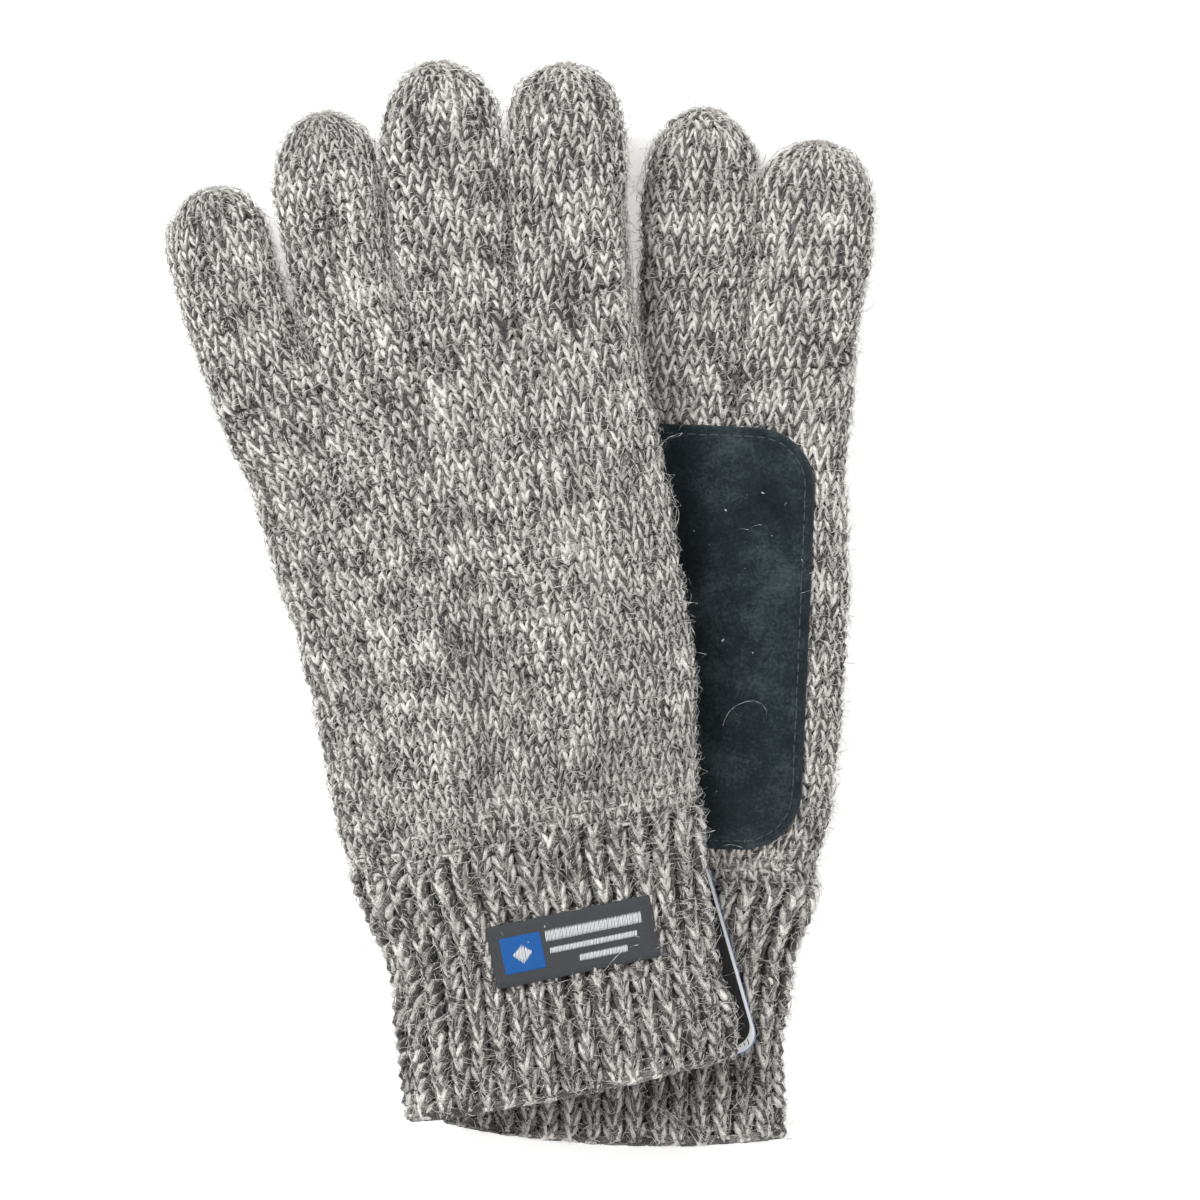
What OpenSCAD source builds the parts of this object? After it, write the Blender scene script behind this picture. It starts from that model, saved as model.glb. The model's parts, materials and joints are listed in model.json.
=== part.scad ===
/* [Cuff] */
// Length of the ribbed cuff from its hem to the hand
cuff_len = 64; // [52:1:80]
// Half width of the cuff at its hem
hem_half = 43; // [36:0.5:50]
// Half width of the cuff where it is narrowest
waist_half = 41; // [34:0.5:48]
// Half width of the cuff where it meets the hand
wrist_half = 46; // [38:0.5:50]
// Thickness of the cuff lying flat
cuff_t = 11; // [9:0.5:14]

/* [Hand] */
// Distance from the hem to the knuckle line
knuckle_at = 191; // [165:1:225]
// Half width of the palm on the little finger's side
palm_little_half = 49; // [44:0.5:58]
// Half width of the palm on the thumb's side
palm_thumb_half = 52; // [47:0.5:60]
// Thickness of the hand and of the fingers lying flat
hand_t = 15; // [13:0.5:18]
// Slant of the knuckle line, in degrees
knuckle_slant = 7; // [0:0.5:10]

/* [Fingers] */
// Width of the little finger
little_w = 26.4; // [20:0.2:32]
// Width of the ring finger
ring_w = 26; // [20:0.2:32]
// Width of the middle finger
middle_w = 26.4; // [20:0.2:32]
// Width of the index finger
index_w = 28.6; // [20:0.2:34]
// Length of the little finger
little_len = 55; // [40:0.5:70]
// Length of the ring finger
ring_len = 65; // [45:0.5:82]
// Length of the middle finger
middle_len = 67.5; // [50:0.5:86]
// Length of the index finger
index_len = 57; // [45:0.5:76]
// Space between neighbouring fingers
finger_gap = 1.6; // [1.2:0.1:3]

/* [Thumb] */
// Width of the thumb
thumb_w = 24; // [20:0.5:28]
// Length of the thumb from the middle of its opening to its tip
thumb_len = 62; // [45:1:75]
// Thickness of the thumb lying flat
thumb_t = 12; // [11:0.5:14]
// Distance from the hem to the middle of the thumb opening
thumb_at = 106; // [100:1:120]
// Distance from the middle of the glove to the middle of the thumb opening
thumb_side = 36; // [30:0.5:38]
// Radius of the opening between the hand and the thumb
thumb_hole_r = 8; // [6:0.5:9]

/* [Walls] */
// Thickness of the knitted wall
knit_t = 2; // [1.5:0.1:2.5]
// Thickness of the lining
lining_t = 1; // [0.6:0.1:1.4]
// Space between two layers that lie on each other
layer_gap = 0.3; // [0.2:0.05:0.6]
// Space between two pieces that move apart
joint_gap = 0.4; // [0.3:0.1:1]

/* [Palm patch] */
// Width of the palm patch
patch_w = 72; // [55:1:74]
// Distance from the cuff to the lower edge of the patch
patch_at = 10; // [2:1:20]
// Distance from the upper edge of the patch to the knuckle line
patch_head = 10; // [8:1:24]
// Distance from the middle of the glove to the thumb-side edge of the patch
patch_side = 42; // [36:0.5:44]
// Corner radius of the patch
patch_r = 15; // [8:1:24]
// Thickness of the suede
patch_t = 1.3; // [0.8:0.1:1.8]
// Space between the patch and the palm that it is sewn on
patch_gap = 1; // [1:0.05:1.3]
// Distance of the stitch line from the edge of the patch
stitch_in = 2.6; // [1.6:0.1:5]
// Width of a stitch line
stitch_w = 0.9; // [0.5:0.1:1.4]
// Height of a stitch line
stitch_h = 0.5; // [0.3:0.1:0.8]

/* [Woven label] */
// Width of the label across the cuff
label_w = 42; // [24:1:50]
// Height of the label along the cuff
label_h = 15.5; // [10:0.5:22]
// Distance from the hem to the middle of the label
label_at = 37; // [28:1:46]
// Distance of the label's middle from the middle of the glove
label_side = 6; // [-8:1:12]
// Thickness of the label
label_t = 0.8; // [0.4:0.1:1.2]
// Distance of the label's stitching from its ends
label_stitch_in = 1.8; // [1.4:0.1:3]

/* [Tags] */
// Width of the swing tag
tag_w = 44; // [30:1:48]
// Length of the swing tag
tag_len = 52; // [40:1:56]
// Thickness of the swing tag
tag_t = 0.5; // [0.4:0.1:0.8]
// Width of the price card behind it
card_w = 36; // [24:1:42]
// Length of the price card
card_len = 51; // [38:1:54]
// Thickness of the price card
card_t = 0.4; // [0.3:0.1:0.6]
// Corner radius of both cards
tag_r = 5; // [2:0.5:8]
// Distance of the pin from the upper edge of the tag
tag_hole_in = 6; // [4:0.5:9]
// Radius of the holes in the cards
tag_hole_r = 1.4; // [1.1:0.1:2]
// Turn of both cards about the pin, against the upper glove
tag_turn = 4.5; // [0:0.5:5]
// Radius of the plastic pin
pin_r = 0.7; // [0.5:0.1:0.9]
// Radius of the pin's head
pin_head_r = 2.4; // [2.1:0.1:3]

/* [How the pair lies] */
// Turn of the upper, left glove
left_turn = 11.5; // [8:0.5:14]
// Turn of the lower, right glove
right_turn = -2.5; // [-4:0.5:0]
// Middle of the left glove's hem, to the right of the origin
left_x = 14.83; // [10:0.01:20]
// Middle of the left glove's hem, above the origin
left_y = -122.14; // [-130:0.01:-115]
// Middle of the right glove's hem, to the right of the origin
right_x = 23.93; // [20:0.01:30]
// Middle of the right glove's hem, above the origin
right_y = -133.94; // [-140:0.01:-128]
// Space between the two gloves where one lies on the other
pair_gap = 4.9; // [4.8:0.1:7]

/* [Hidden] */

RIGHT = 0;
LEFT = 1;
LITTLE = 0;
RING = 1;
MIDDLE = 2;
INDEX = 3;

// Colours
knit_colour = "#9b9892";
rib_colour = "#8f8c87";
lining_colour = "#55585c";
suede_colour = "#2b333b";
thread_colour = "#6f757b";
label_colour = "#3c3e42";
tag_colour = "#1c1d20";
card_colour = "#f1f1ee";
pin_colour = "#d9dcdf";

// Points across one face of the hand, of a finger and of the thumb
hand_sides = 18;
finger_sides = 7;
// Roundness of the sections: 2 is an ellipse, more is boxier
hand_power = 2.5;
finger_power = 2.6;
// Where a fingertip starts to round, as a share of the finger
tip_start = 0.62;
tip_power = 2.3;

finger_widths = [little_w, ring_w, middle_w, index_w];
finger_lens = [little_len, ring_len, middle_len, index_len];
// Lean of each finger towards the thumb, in degrees: the right glove's, then the left one's
finger_leans = [[-11, -7, 1, 3], [-5, 2, 6, 10]];
knuckle_w = little_w + ring_w + middle_w + index_w;
knuckle_shift = -1.8;
knuckle_slope = tan(knuckle_slant);

waist_at = cuff_len * 0.5;
heel_at = cuff_len + 14;
palm_at = (heel_at + knuckle_at) / 2;
// The little finger's side widens between these two distances
swell_from = palm_at - 20;
swell_to = palm_at + 25;
swell_start = 0.6;
// The hand thickens over this length above the cuff
thicken_run = 32;
slant_run = 70;

// A tucked thumb lifts the hand above it, on one side and between two lines across the glove
lift_side = thumb_side - 38;
lift_run = 30;
lift_low = thumb_at - 40;
lift_high = thumb_at + thumb_len + 22;
lift_fade = 36;
thumb_clear = 0.6;
thumb_seat = 2.5;
thumb_back = thumb_hole_r + knit_t + lining_t + layer_gap + thumb_seat;
// Where the thumb's back starts to round, as a share of it
back_start = 0.25;

// The upper glove droops to the table past the lower one's edge
droop_out = 38;
droop_in = 4;
rest_gap = label_t + 2 * layer_gap;
stack_h = hand_t + pair_gap;

turns = [right_turn, left_turn];
hems = [[right_x, right_y], [left_x, left_y]];

// The patch runs from above the cuff to below the knuckle line
patch_low = cuff_len + patch_at;
patch_h = knuckle_at - patch_head - patch_low;

tag_side = 21.2;
tag_low = 0.7;
tag_z = hand_t - layer_gap;
card_z = tag_z - card_t - layer_gap;
card_side = tag_side + 3.5;
card_drop = 2.4;
pin_at = tag_low + tag_len - tag_hole_in;
pin_head_t = 0.4;
sewn_gap = 0.05;
pin_bite = 1.2;

// ---- rules that give the shape ----
function clamp01(t) = max(0, min(1, t));
function ease(t) = let (c = clamp01(t)) c * c * (3 - 2 * c);
function mix(a, b, t) = a + (b - a) * t;

// Edges of a glove at a distance t from the hem
function little_edge(t) = -lookup(t, [
    [0, hem_half], [waist_at, waist_half], [cuff_len, wrist_half],
    [swell_from, wrist_half + swell_start], [swell_to, palm_little_half],
    [knuckle_at, knuckle_w / 2 - knuckle_shift]
]);
function thumb_edge(t) = lookup(t, [
    [0, hem_half], [waist_at, waist_half], [cuff_len, wrist_half],
    [heel_at, palm_thumb_half - 1.5], [palm_at, palm_thumb_half],
    [knuckle_at, knuckle_w / 2 + knuckle_shift]
]);
function half_t(t) = mix(cuff_t, hand_t, ease((t - cuff_len) / thicken_run)) / 2;
function row_slope(t) = knuckle_slope * ease((t - knuckle_at + slant_run) / slant_run);

// How far a tucked thumb lifts the hand at a place on the glove
function lift(u, v) = ease((u - lift_side) / lift_run) * ease((v - lift_low) / lift_run)
    * ease((lift_high - v) / lift_fade);
function lift_h(g) = thumb_t + thumb_clear + (g == LEFT ? patch_t + patch_gap + layer_gap : 0);

// From a glove's own across and along to the shared frame, and back
function to_pair(g, u, v) = [
    hems[g][0] + u * cos(turns[g]) - v * sin(turns[g]),
    hems[g][1] + u * sin(turns[g]) + v * cos(turns[g])
];
function to_glove(g, p) = let (d = p - hems[g]) [
    d[0] * cos(turns[g]) + d[1] * sin(turns[g]),
    d[1] * cos(turns[g]) - d[0] * sin(turns[g])
];

// Height of what a glove lies on: the table, or the other glove
function table_h(v) = rest_gap * (1 - ease((v - cuff_len) / thicken_run));
function pile_h(q) = let (edge = little_edge(q[1]) - (q[1] > knuckle_at ? 3 : 0))
    stack_h * ease((q[0] - edge + droop_out) / (droop_out + droop_in))
    + lift_h(RIGHT) * lift(q[0], q[1]);
function ground(g, u, v) = g == RIGHT ? table_h(v) : pile_h(to_glove(RIGHT, to_pair(g, u, v)));
function point(g, u, v, w, lifted) = let (p = to_pair(g, u, v))
    [p[0], p[1], ground(g, u, v) + lifted * lift_h(g) * lift(u, v) + w];

// A closed loop of [across, up] shares of a section's half width and half thickness
function spread(i, m) = -mix(cos(180 * i / m), 1 - 2 * i / m, 0.5);
function bow(x, power) = pow(max(0, 1 - pow(abs(x), power)), 1 / power);
function section(m, power) = concat(
    [for (i = [0 : m]) let (x = spread(i, m)) [x, bow(x, power)]],
    [for (i = [m - 1 : -1 : 1]) let (x = spread(i, m)) [x, -bow(x, power)]]
);

function hand_ring(g, t, inset) = let (
    lo = little_edge(t) + inset,
    hi = thumb_edge(t) - inset,
    b = half_t(t)
) [for (p = section(hand_sides, hand_power)) let (
    u = (lo + hi) / 2 + (hi - lo) / 2 * p[0]
) point(g, u, t + row_slope(t) * u, b + (b - inset) * p[1], 1)];

// Middle of a finger's foot, measured across the glove
function foot(f, i = 0) = i == f
    ? finger_widths[f] / 2 - knuckle_w / 2 + knuckle_shift
    : finger_widths[i] + foot(f, i + 1);
function dome(s) = s <= tip_start ? 1
    : bow((s - tip_start) / (1 - tip_start), tip_power);
function finger_point(g, f, s, inset, p) = let (
    len = finger_lens[f] - inset,
    side = foot(f) + tan(finger_leans[g][f]) * len * s,
    du = ((finger_widths[f] - finger_gap) / 2 - inset) * dome(s) * p[0],
    slope = mix(knuckle_slope, -tan(finger_leans[g][f]), s),
    v = knuckle_at + joint_gap + knuckle_slope * foot(f) + (len - joint_gap) * s
        + (slope * du + (side - foot(f)) * knuckle_slope * (1 - s))
) point(g, side + du, v, hand_t / 2 + (hand_t / 2 - inset) * dome(s) * p[1], 1);
function finger_ring(g, f, s, inset) =
    [for (p = section(finger_sides, finger_power)) finger_point(g, f, s, inset, p)];

// The thumb is closed at both ends: s runs from -1 at its back to 1 at its tip
function thumb_dome(s) = bow(s < 0 ? max(0, -s - back_start) / (1 - back_start)
    : max(0, s - tip_start) / (1 - tip_start), tip_power);
function thumb_point(g, s, inset, p) = let (
    v = thumb_at + (s < 0 ? s * (thumb_back - inset) : s * (thumb_len - inset)),
    u = thumb_side + (thumb_w / 2 - inset) * thumb_dome(s) * p[0]
) point(g, u, v, thumb_t / 2 + (thumb_t / 2 - inset) * thumb_dome(s) * p[1], 0);
function thumb_ring(g, s, inset) =
    [for (p = section(finger_sides, finger_power)) thumb_point(g, s, inset, p)];

// Height of a glove's skin: face is 1 for its upper face and -1 for its lower one
function skin(g, u, v, face, out) = let (
    a = (thumb_edge(v) - little_edge(v)) / 2,
    c = (thumb_edge(v) + little_edge(v)) / 2,
    b = half_t(v)
) point(g, u, v, b + face * (b * bow((u - c) / a, hand_power) + out), 1);
function palm_face(g) = g == RIGHT ? 1 : -1;

// ---- solids from rings and grids of points ----
function flat(rows) = [for (row = rows) for (p = row) p];
// Two triangles for each cell between neighbouring rings or rows
function band(a, b, m) = [for (i = [0 : m - 1]) let (j = (i + 1) % m)
    each [[a + i, b + i, b + j], [a + i, b + j, a + j]]];
function turned(faces) = [for (f = faces) [f[2], f[1], f[0]]];
function skin_faces(first, rings, m) = [for (r = [0 : rings - 2])
    each band(first + r * m, first + (r + 1) * m, m)];
function fan(first, m, tip) = [for (i = [0 : m - 1]) [first + i, tip, first + (i + 1) % m]];

// A tube with two open ends: rings of its outer skin and of its inner skin
module open_tube(outer, inner) {
    m = len(outer[0]);
    n = len(outer);
    polyhedron(points = concat(flat(outer), flat(inner)), faces = concat(
        skin_faces(0, n, m), turned(skin_faces(n * m, n, m)),
        turned(band(0, n * m, m)), band((n - 1) * m, (2 * n - 1) * m, m)));
}

// A tube closed at its far end; the last ring of each skin is a tip
module sock(outer, inner, outer_tip, inner_tip) {
    m = len(outer[0]);
    n = len(outer);
    tips = 2 * n * m;
    polyhedron(points = concat(flat(outer), flat(inner), [outer_tip, inner_tip]), faces = concat(
        skin_faces(0, n, m), turned(skin_faces(n * m, n, m)), turned(band(0, n * m, m)),
        fan((n - 1) * m, m, tips), turned(fan((2 * n - 1) * m, m, tips + 1))));
}

// A closed bean, with a tip at each end
module pod(rings, back_tip, front_tip) {
    m = len(rings[0]);
    n = len(rings);
    polyhedron(points = concat(flat(rings), [back_tip, front_tip]), faces = concat(
        skin_faces(0, n, m), turned(fan(0, m, n * m)), fan((n - 1) * m, m, n * m + 1)));
}

// A closed belt: four strings of points round a loop
module belt(low_out, low_in, high_in, high_out) {
    m = len(low_out);
    polyhedron(points = concat(low_out, low_in, high_in, high_out), faces = concat(
        band(0, m, m), band(m, 2 * m, m), band(2 * m, 3 * m, m), band(3 * m, 0, m)));
}

// A thin slab between an upper and a lower grid of points
module slab(upper, lower) {
    m = len(upper[0]);
    n = len(upper);
    low = n * m;
    top_faces = [for (r = [0 : n - 2]) for (i = [0 : m - 2]) let (a = r * m + i)
        each [[a, a + m, a + m + 1], [a, a + m + 1, a + 1]]];
    sides = concat(
        [for (i = [0 : m - 2]) each [[i, i + 1, low + i + 1], [i, low + i + 1, low + i]]],
        [for (i = [0 : m - 2]) let (a = (n - 1) * m + i)
            each [[a, low + a, low + a + 1], [a, low + a + 1, a + 1]]],
        [for (r = [0 : n - 2]) let (a = r * m)
            each [[a, low + a, low + a + m], [a, low + a + m, a + m]]],
        [for (r = [0 : n - 2]) let (a = r * m + m - 1)
            each [[a, a + m, low + a + m], [a, low + a + m, low + a]]]);
    polyhedron(points = concat(flat(upper), flat(lower)), faces = concat(
        top_faces, turned([for (f = top_faces) [f[0] + low, f[1] + low, f[2] + low]]), sides));
}

// ---- the knit ----
function steps(a, b, n) = [for (i = [0 : n]) mix(a, b, i / n)];
cuff_rows = steps(0, cuff_len - joint_gap / 2, 4);
hand_rows = steps(cuff_len + joint_gap / 2, knuckle_at, 12);
finger_rows = concat(steps(0, tip_start, 4), [0.74, 0.84, 0.92, 0.975]);
thumb_rows = concat([-0.97, -0.86, -0.7, -0.5, -back_start], steps(0, tip_start, 4),
    [0.74, 0.84, 0.92, 0.975]);
lining_in = knit_t + layer_gap;
cavity_in = lining_in + lining_t;

module thumb_opening(g, from_face) {
    p = point(g, thumb_side, thumb_at, from_face, 0);
    translate([p[0], p[1], p[2]]) cylinder(h = lift_h(g) + hand_t / 2 - from_face,
        r = thumb_hole_r, $fn = 32);
}

module hand_layer(g, out, in) {
    difference() {
        open_tube([for (t = hand_rows) hand_ring(g, t, out)],
            [for (t = hand_rows) hand_ring(g, t, in)]);
        thumb_opening(g, thumb_t / 2);
    }
}

module cuff_rib(g) {
    color(rib_colour) open_tube([for (t = cuff_rows) hand_ring(g, t, 0)],
        [for (t = cuff_rows) hand_ring(g, t, knit_t)]);
}

module finger_layer(g, f, out, in) {
    sock([for (s = finger_rows) finger_ring(g, f, s, out)],
        [for (s = finger_rows) finger_ring(g, f, s, in)],
        finger_point(g, f, 1, out, [0, 0]), finger_point(g, f, 1, in, [0, 0]));
}

module thumb_bean(g, inset) {
    pod([for (s = thumb_rows) thumb_ring(g, s, inset)],
        thumb_point(g, -1, inset, [0, 0]), thumb_point(g, 1, inset, [0, 0]));
}

module thumb_layer(g, out, in) {
    difference() {
        thumb_bean(g, out);
        thumb_bean(g, in);
        thumb_opening(g, thumb_t / 2);
    }
}

// ---- patch, label and tags ----
// How far a rounded corner draws an edge in, at a distance d from the end
function corner_in(d, r) = d >= r ? 0 : r - sqrt(r * r - (r - d) * (r - d));
patch_rows = concat([for (a = [0, 30, 60]) patch_r * (1 - cos(a))],
    steps(patch_r, patch_h - patch_r, 8),
    [for (a = [60, 30, 0]) patch_h - patch_r * (1 - cos(a))]);

function patch_grid(g, out) = [for (y = patch_rows) let (
    pull = corner_in(min(y, patch_h - y), patch_r)
) [for (x = steps(patch_side - patch_w + pull, patch_side - pull, 11))
    skin(g, x, patch_low + y, palm_face(g), out)]];

// Points round a rounded rectangle that is drawn in by a distance
function rounded_loop(w, h, r, in, n) = let (
    a = w / 2 - r, b = h / 2 - r, q = max(0.1, r - in)
) [for (k = [0 : 3]) let (
        sx = (k == 0 || k == 3) ? 1 : -1,
        sy = k < 2 ? 1 : -1,
        extra = r > in ? 0 : in - r
    ) each concat(
        [for (i = [0 : 4]) let (t = 90 * k + 22.5 * i)
            [sx * (a - extra) + q * cos(t), sy * (b - extra) + q * sin(t)]],
        [for (i = [1 : n - 1]) k % 2 == 0
            ? [mix(sx * (a - extra), -sx * (a - extra), i / n), sy * (b - extra + q)]
            : [sx * (a - extra + q), mix(sy * (b - extra), -sy * (b - extra), i / n)]]
    )];

module stitch_belt(g, face, mid_u, mid_v, w, h, r, in, base, n) {
    outer = rounded_loop(w, h, r, in - stitch_w / 2, n);
    inner = rounded_loop(w, h, r, in + stitch_w / 2, n);
    function place(pts, out) = [for (p = pts) skin(g, mid_u + p[0], mid_v + p[1], face, out)];
    low = base + layer_gap;
    high = low + stitch_h;
    if (face > 0) belt(place(outer, low), place(outer, high), place(inner, high), place(inner, low));
    else belt(place(outer, high), place(outer, low), place(inner, low), place(inner, high));
}

module face_slab(upper, lower, face) {
    if (face > 0) slab(upper, lower);
    else slab(lower, upper);
}

module palm_patch(g) {
    color(suede_colour) difference() {
        face_slab(patch_grid(g, patch_gap + patch_t), patch_grid(g, patch_gap), palm_face(g));
        if (g == LEFT) {
            p = to_pair(g, thumb_side, thumb_at);
            translate([p[0], p[1], 0]) cylinder(h = 3 * hand_t + lift_h(g),
                r = thumb_hole_r + stitch_w, $fn = 32);
        }
    }
}

module patch_stitching(g) {
    color(thread_colour) stitch_belt(g, palm_face(g), patch_side - patch_w / 2,
        patch_low + patch_h / 2, patch_w, patch_h, patch_r, stitch_in, patch_gap + patch_t, 10);
}

function label_grid(g, out) = [for (y = steps(-label_h / 2, label_h / 2, 3))
    [for (x = steps(-label_w / 2, label_w / 2, 6))
        skin(g, label_side + x, label_at + y, -palm_face(g), out)]];

module woven_label(g) {
    color(label_colour) face_slab(label_grid(g, layer_gap + label_t), label_grid(g, layer_gap),
        -palm_face(g));
}

// One sewn line across each end of the label
module label_stitching(g) {
    low = layer_gap + label_t + sewn_gap;
    high = low + stitch_h / 2;
    function line(mid, out) = [for (x = [-stitch_w / 2, stitch_w / 2])
        [for (y = steps(label_stitch_in - label_h / 2, label_h / 2 - label_stitch_in, 3))
            skin(g, label_side + mid - x, label_at + y, -palm_face(g), out)]];
    color(thread_colour) for (e = [-1, 1]) {
        mid = e * (label_w / 2 - label_stitch_in);
        face_slab(line(mid, high), line(mid, low), -palm_face(g));
    }
}

// Lays a card in the upper glove's own directions, level, at a height
module on_left(u, v, z) {
    p = to_pair(LEFT, u, v);
    translate([p[0], p[1], z]) rotate(left_turn) children();
}

module card(w, len, t) {
    linear_extrude(t) difference() {
        translate([-w / 2, 0]) square([w, len]);
        for (x = [-1, 1], y = [0, 1]) translate([x * w / 2, y * len]) difference() {
            square(2 * tag_r, center = true);
            translate([-x * tag_r, (1 - 2 * y) * tag_r]) circle(tag_r, $fn = 48);
        }
    }
}

module pinned_card(side, low, w, len, t, z) {
    difference() {
        on_left(tag_side, pin_at, z) rotate(tag_turn)
            translate([side - tag_side, low - pin_at, 0]) card(w, len, t);
        on_left(tag_side, pin_at, z - 1) cylinder(h = t + 2, r = tag_hole_r, $fn = 32);
    }
}

module swing_tag() {
    color(tag_colour) pinned_card(tag_side, tag_low, tag_w, tag_len, tag_t, tag_z);
}

module price_card() {
    color(card_colour) pinned_card(card_side, tag_low - card_drop, card_w, card_len, card_t, card_z);
}

module tag_pin() {
    foot_z = card_z - pin_head_t - layer_gap;
    top_z = ground(LEFT, tag_side, pin_at) + pin_bite;
    color(pin_colour) union() {
        on_left(tag_side, pin_at, foot_z) cylinder(h = pin_head_t, r = pin_head_r, $fn = 32);
        on_left(tag_side, pin_at, foot_z) cylinder(h = top_z - foot_z, r = pin_r, $fn = 24);
    }
}

// ---- one module for each piece ----
module hand_knit(g) {
    color(knit_colour) hand_layer(g, 0, knit_t);
}
module hand_lining(g) {
    color(lining_colour) hand_layer(g, lining_in, cavity_in);
}
module finger_knit(g, f) {
    color(knit_colour) finger_layer(g, f, 0, knit_t);
}
module finger_lining(g, f) {
    color(lining_colour) finger_layer(g, f, lining_in, cavity_in);
}
module thumb_knit(g) {
    color(knit_colour) thumb_layer(g, 0, knit_t);
}
module thumb_lining(g) {
    color(lining_colour) thumb_layer(g, lining_in, cavity_in);
}

hand_knit(RIGHT);  // right_hand_knit
cuff_rib(RIGHT);  // right_cuff_rib
finger_knit(RIGHT, LITTLE);  // right_little_finger
finger_knit(RIGHT, RING);  // right_ring_finger
finger_knit(RIGHT, MIDDLE);  // right_middle_finger
finger_knit(RIGHT, INDEX);  // right_index_finger
thumb_knit(RIGHT);  // right_thumb
hand_lining(RIGHT);  // right_hand_lining
finger_lining(RIGHT, LITTLE);  // right_little_lining
finger_lining(RIGHT, RING);  // right_ring_lining
finger_lining(RIGHT, MIDDLE);  // right_middle_lining
finger_lining(RIGHT, INDEX);  // right_index_lining
thumb_lining(RIGHT);  // right_thumb_lining
palm_patch(RIGHT);  // right_palm_patch
patch_stitching(RIGHT);  // right_patch_stitching
woven_label(RIGHT);  // right_label
label_stitching(RIGHT);  // right_label_stitching
hand_knit(LEFT);  // left_hand_knit
cuff_rib(LEFT);  // left_cuff_rib
finger_knit(LEFT, LITTLE);  // left_little_finger
finger_knit(LEFT, RING);  // left_ring_finger
finger_knit(LEFT, MIDDLE);  // left_middle_finger
finger_knit(LEFT, INDEX);  // left_index_finger
thumb_knit(LEFT);  // left_thumb
hand_lining(LEFT);  // left_hand_lining
finger_lining(LEFT, LITTLE);  // left_little_lining
finger_lining(LEFT, RING);  // left_ring_lining
finger_lining(LEFT, MIDDLE);  // left_middle_lining
finger_lining(LEFT, INDEX);  // left_index_lining
thumb_lining(LEFT);  // left_thumb_lining
palm_patch(LEFT);  // left_palm_patch
patch_stitching(LEFT);  // left_patch_stitching
woven_label(LEFT);  // left_label
label_stitching(LEFT);  // left_label_stitching
swing_tag();
price_card();
tag_pin();
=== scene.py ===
"""A pair of lined, knitted gloves lying overlapped on a pale table."""
import json
import math

import bpy
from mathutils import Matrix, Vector
import numpy as np


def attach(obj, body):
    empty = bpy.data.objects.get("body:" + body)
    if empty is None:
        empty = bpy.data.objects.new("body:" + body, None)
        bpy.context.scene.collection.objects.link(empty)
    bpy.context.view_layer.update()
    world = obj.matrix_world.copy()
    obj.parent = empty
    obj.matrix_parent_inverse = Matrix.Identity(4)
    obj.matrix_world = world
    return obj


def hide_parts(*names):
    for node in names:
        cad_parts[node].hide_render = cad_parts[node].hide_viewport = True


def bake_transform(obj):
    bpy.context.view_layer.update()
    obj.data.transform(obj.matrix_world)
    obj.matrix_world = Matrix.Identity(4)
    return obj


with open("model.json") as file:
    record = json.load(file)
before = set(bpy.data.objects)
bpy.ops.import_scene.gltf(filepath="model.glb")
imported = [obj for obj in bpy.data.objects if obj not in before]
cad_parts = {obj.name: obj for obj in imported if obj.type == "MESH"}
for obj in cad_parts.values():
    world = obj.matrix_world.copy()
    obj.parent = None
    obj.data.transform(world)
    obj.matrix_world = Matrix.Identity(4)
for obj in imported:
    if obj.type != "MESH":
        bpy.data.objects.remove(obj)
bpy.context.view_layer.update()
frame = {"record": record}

# ---------------------------------------------------------------- sizes, in millimetres
MM = 0.001
# From the hem to the top of the cuff and to the knuckles, and the two thicknesses
CUFF_LEN, KNUCKLE_AT = 64.0, 191.0
CUFF_T, HAND_T = 11.0, 15.0
KNUCKLE_SLOPE = math.tan(math.radians(7))
# Finger stalls, the little one first; each leans towards the thumb by some degrees
FINGERS = ("little", "ring", "middle", "index")
FINGER_W = (26.4, 26.0, 26.4, 28.6)
FINGER_LEN = (55.0, 65.0, 67.5, 57.0)
FINGER_LEAN = {"right": (-11, -7, 1, 3), "left": (-5, 2, 6, 10)}
FINGER_GAP, KNUCKLE_SHIFT = 0.3, -1.8
# Where along a stall its tip begins to round off, and how squarely it does
TIP_START, TIP_POWER = 0.70, 2.5
# Thumb stall: size on both sides of its root, and the root's place
THUMB_W, THUMB_LEN, THUMB_BACK, THUMB_T = 24.0, 62.0, 13.8, 12.0
THUMB_AT, THUMB_SIDE = 106.0, 36.0
# Thickness of label and patch, the air between layers, and the space between the gloves
LABEL_T, LAYER_GAP, PATCH_T, PATCH_GAP = 0.8, 0.3, 1.3, 1.0
PAIR_GAP = 4.9
# Squareness of a glove's section: soft at the palm, boxy at the knuckles
SOFT, BOXY = 2.5, 4.6
PALM_HALF_W, PALM_HALF_T = 50, 7
# How far each finger's two sides stand out from its plain width, halfway up
PLUMP = {"right": ((0, 0), (0, 0.5), (0.3, 1.8), (-0.5, 1.2)),
         "left": ((1.3, -1.6), (3.0, -2.2), (3.6, 0.4), (0.3, 0.2))}
# Edges of a glove lying flat: (distance from the hem, half width)
LITTLE_EDGE = ((0, 43.0), (10, 43.0), (25, 41.0), (41, 40.6), (52, 43.3), (59, 45.3), (66, 45.0),
               (73, 46.2), (105, 46.2), (130, 47.7), (152, 50.0), (170, 50.9), (191, 55.5))
THUMB_EDGE = {
    "right": ((0, 42.8), (14, 41.2), (31, 41.5), (46, 43.0), (56, 45.6), (64, 48.4), (69, 47.8),
              (76, 49.2), (84, 50.8), (98, 51.6), (120, 52.4), (142, 52.4), (164, 50.7), (191, 51.9)),
    "left": ((0, 40.0), (10, 41.0), (25, 40.4), (40, 40.7), (50, 41.6), (60, 43.2), (66, 43.6),
             (80, 45.9), (100, 49.2), (120, 50.4), (140, 51.3), (160, 52.0), (191, 51.9))}
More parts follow.
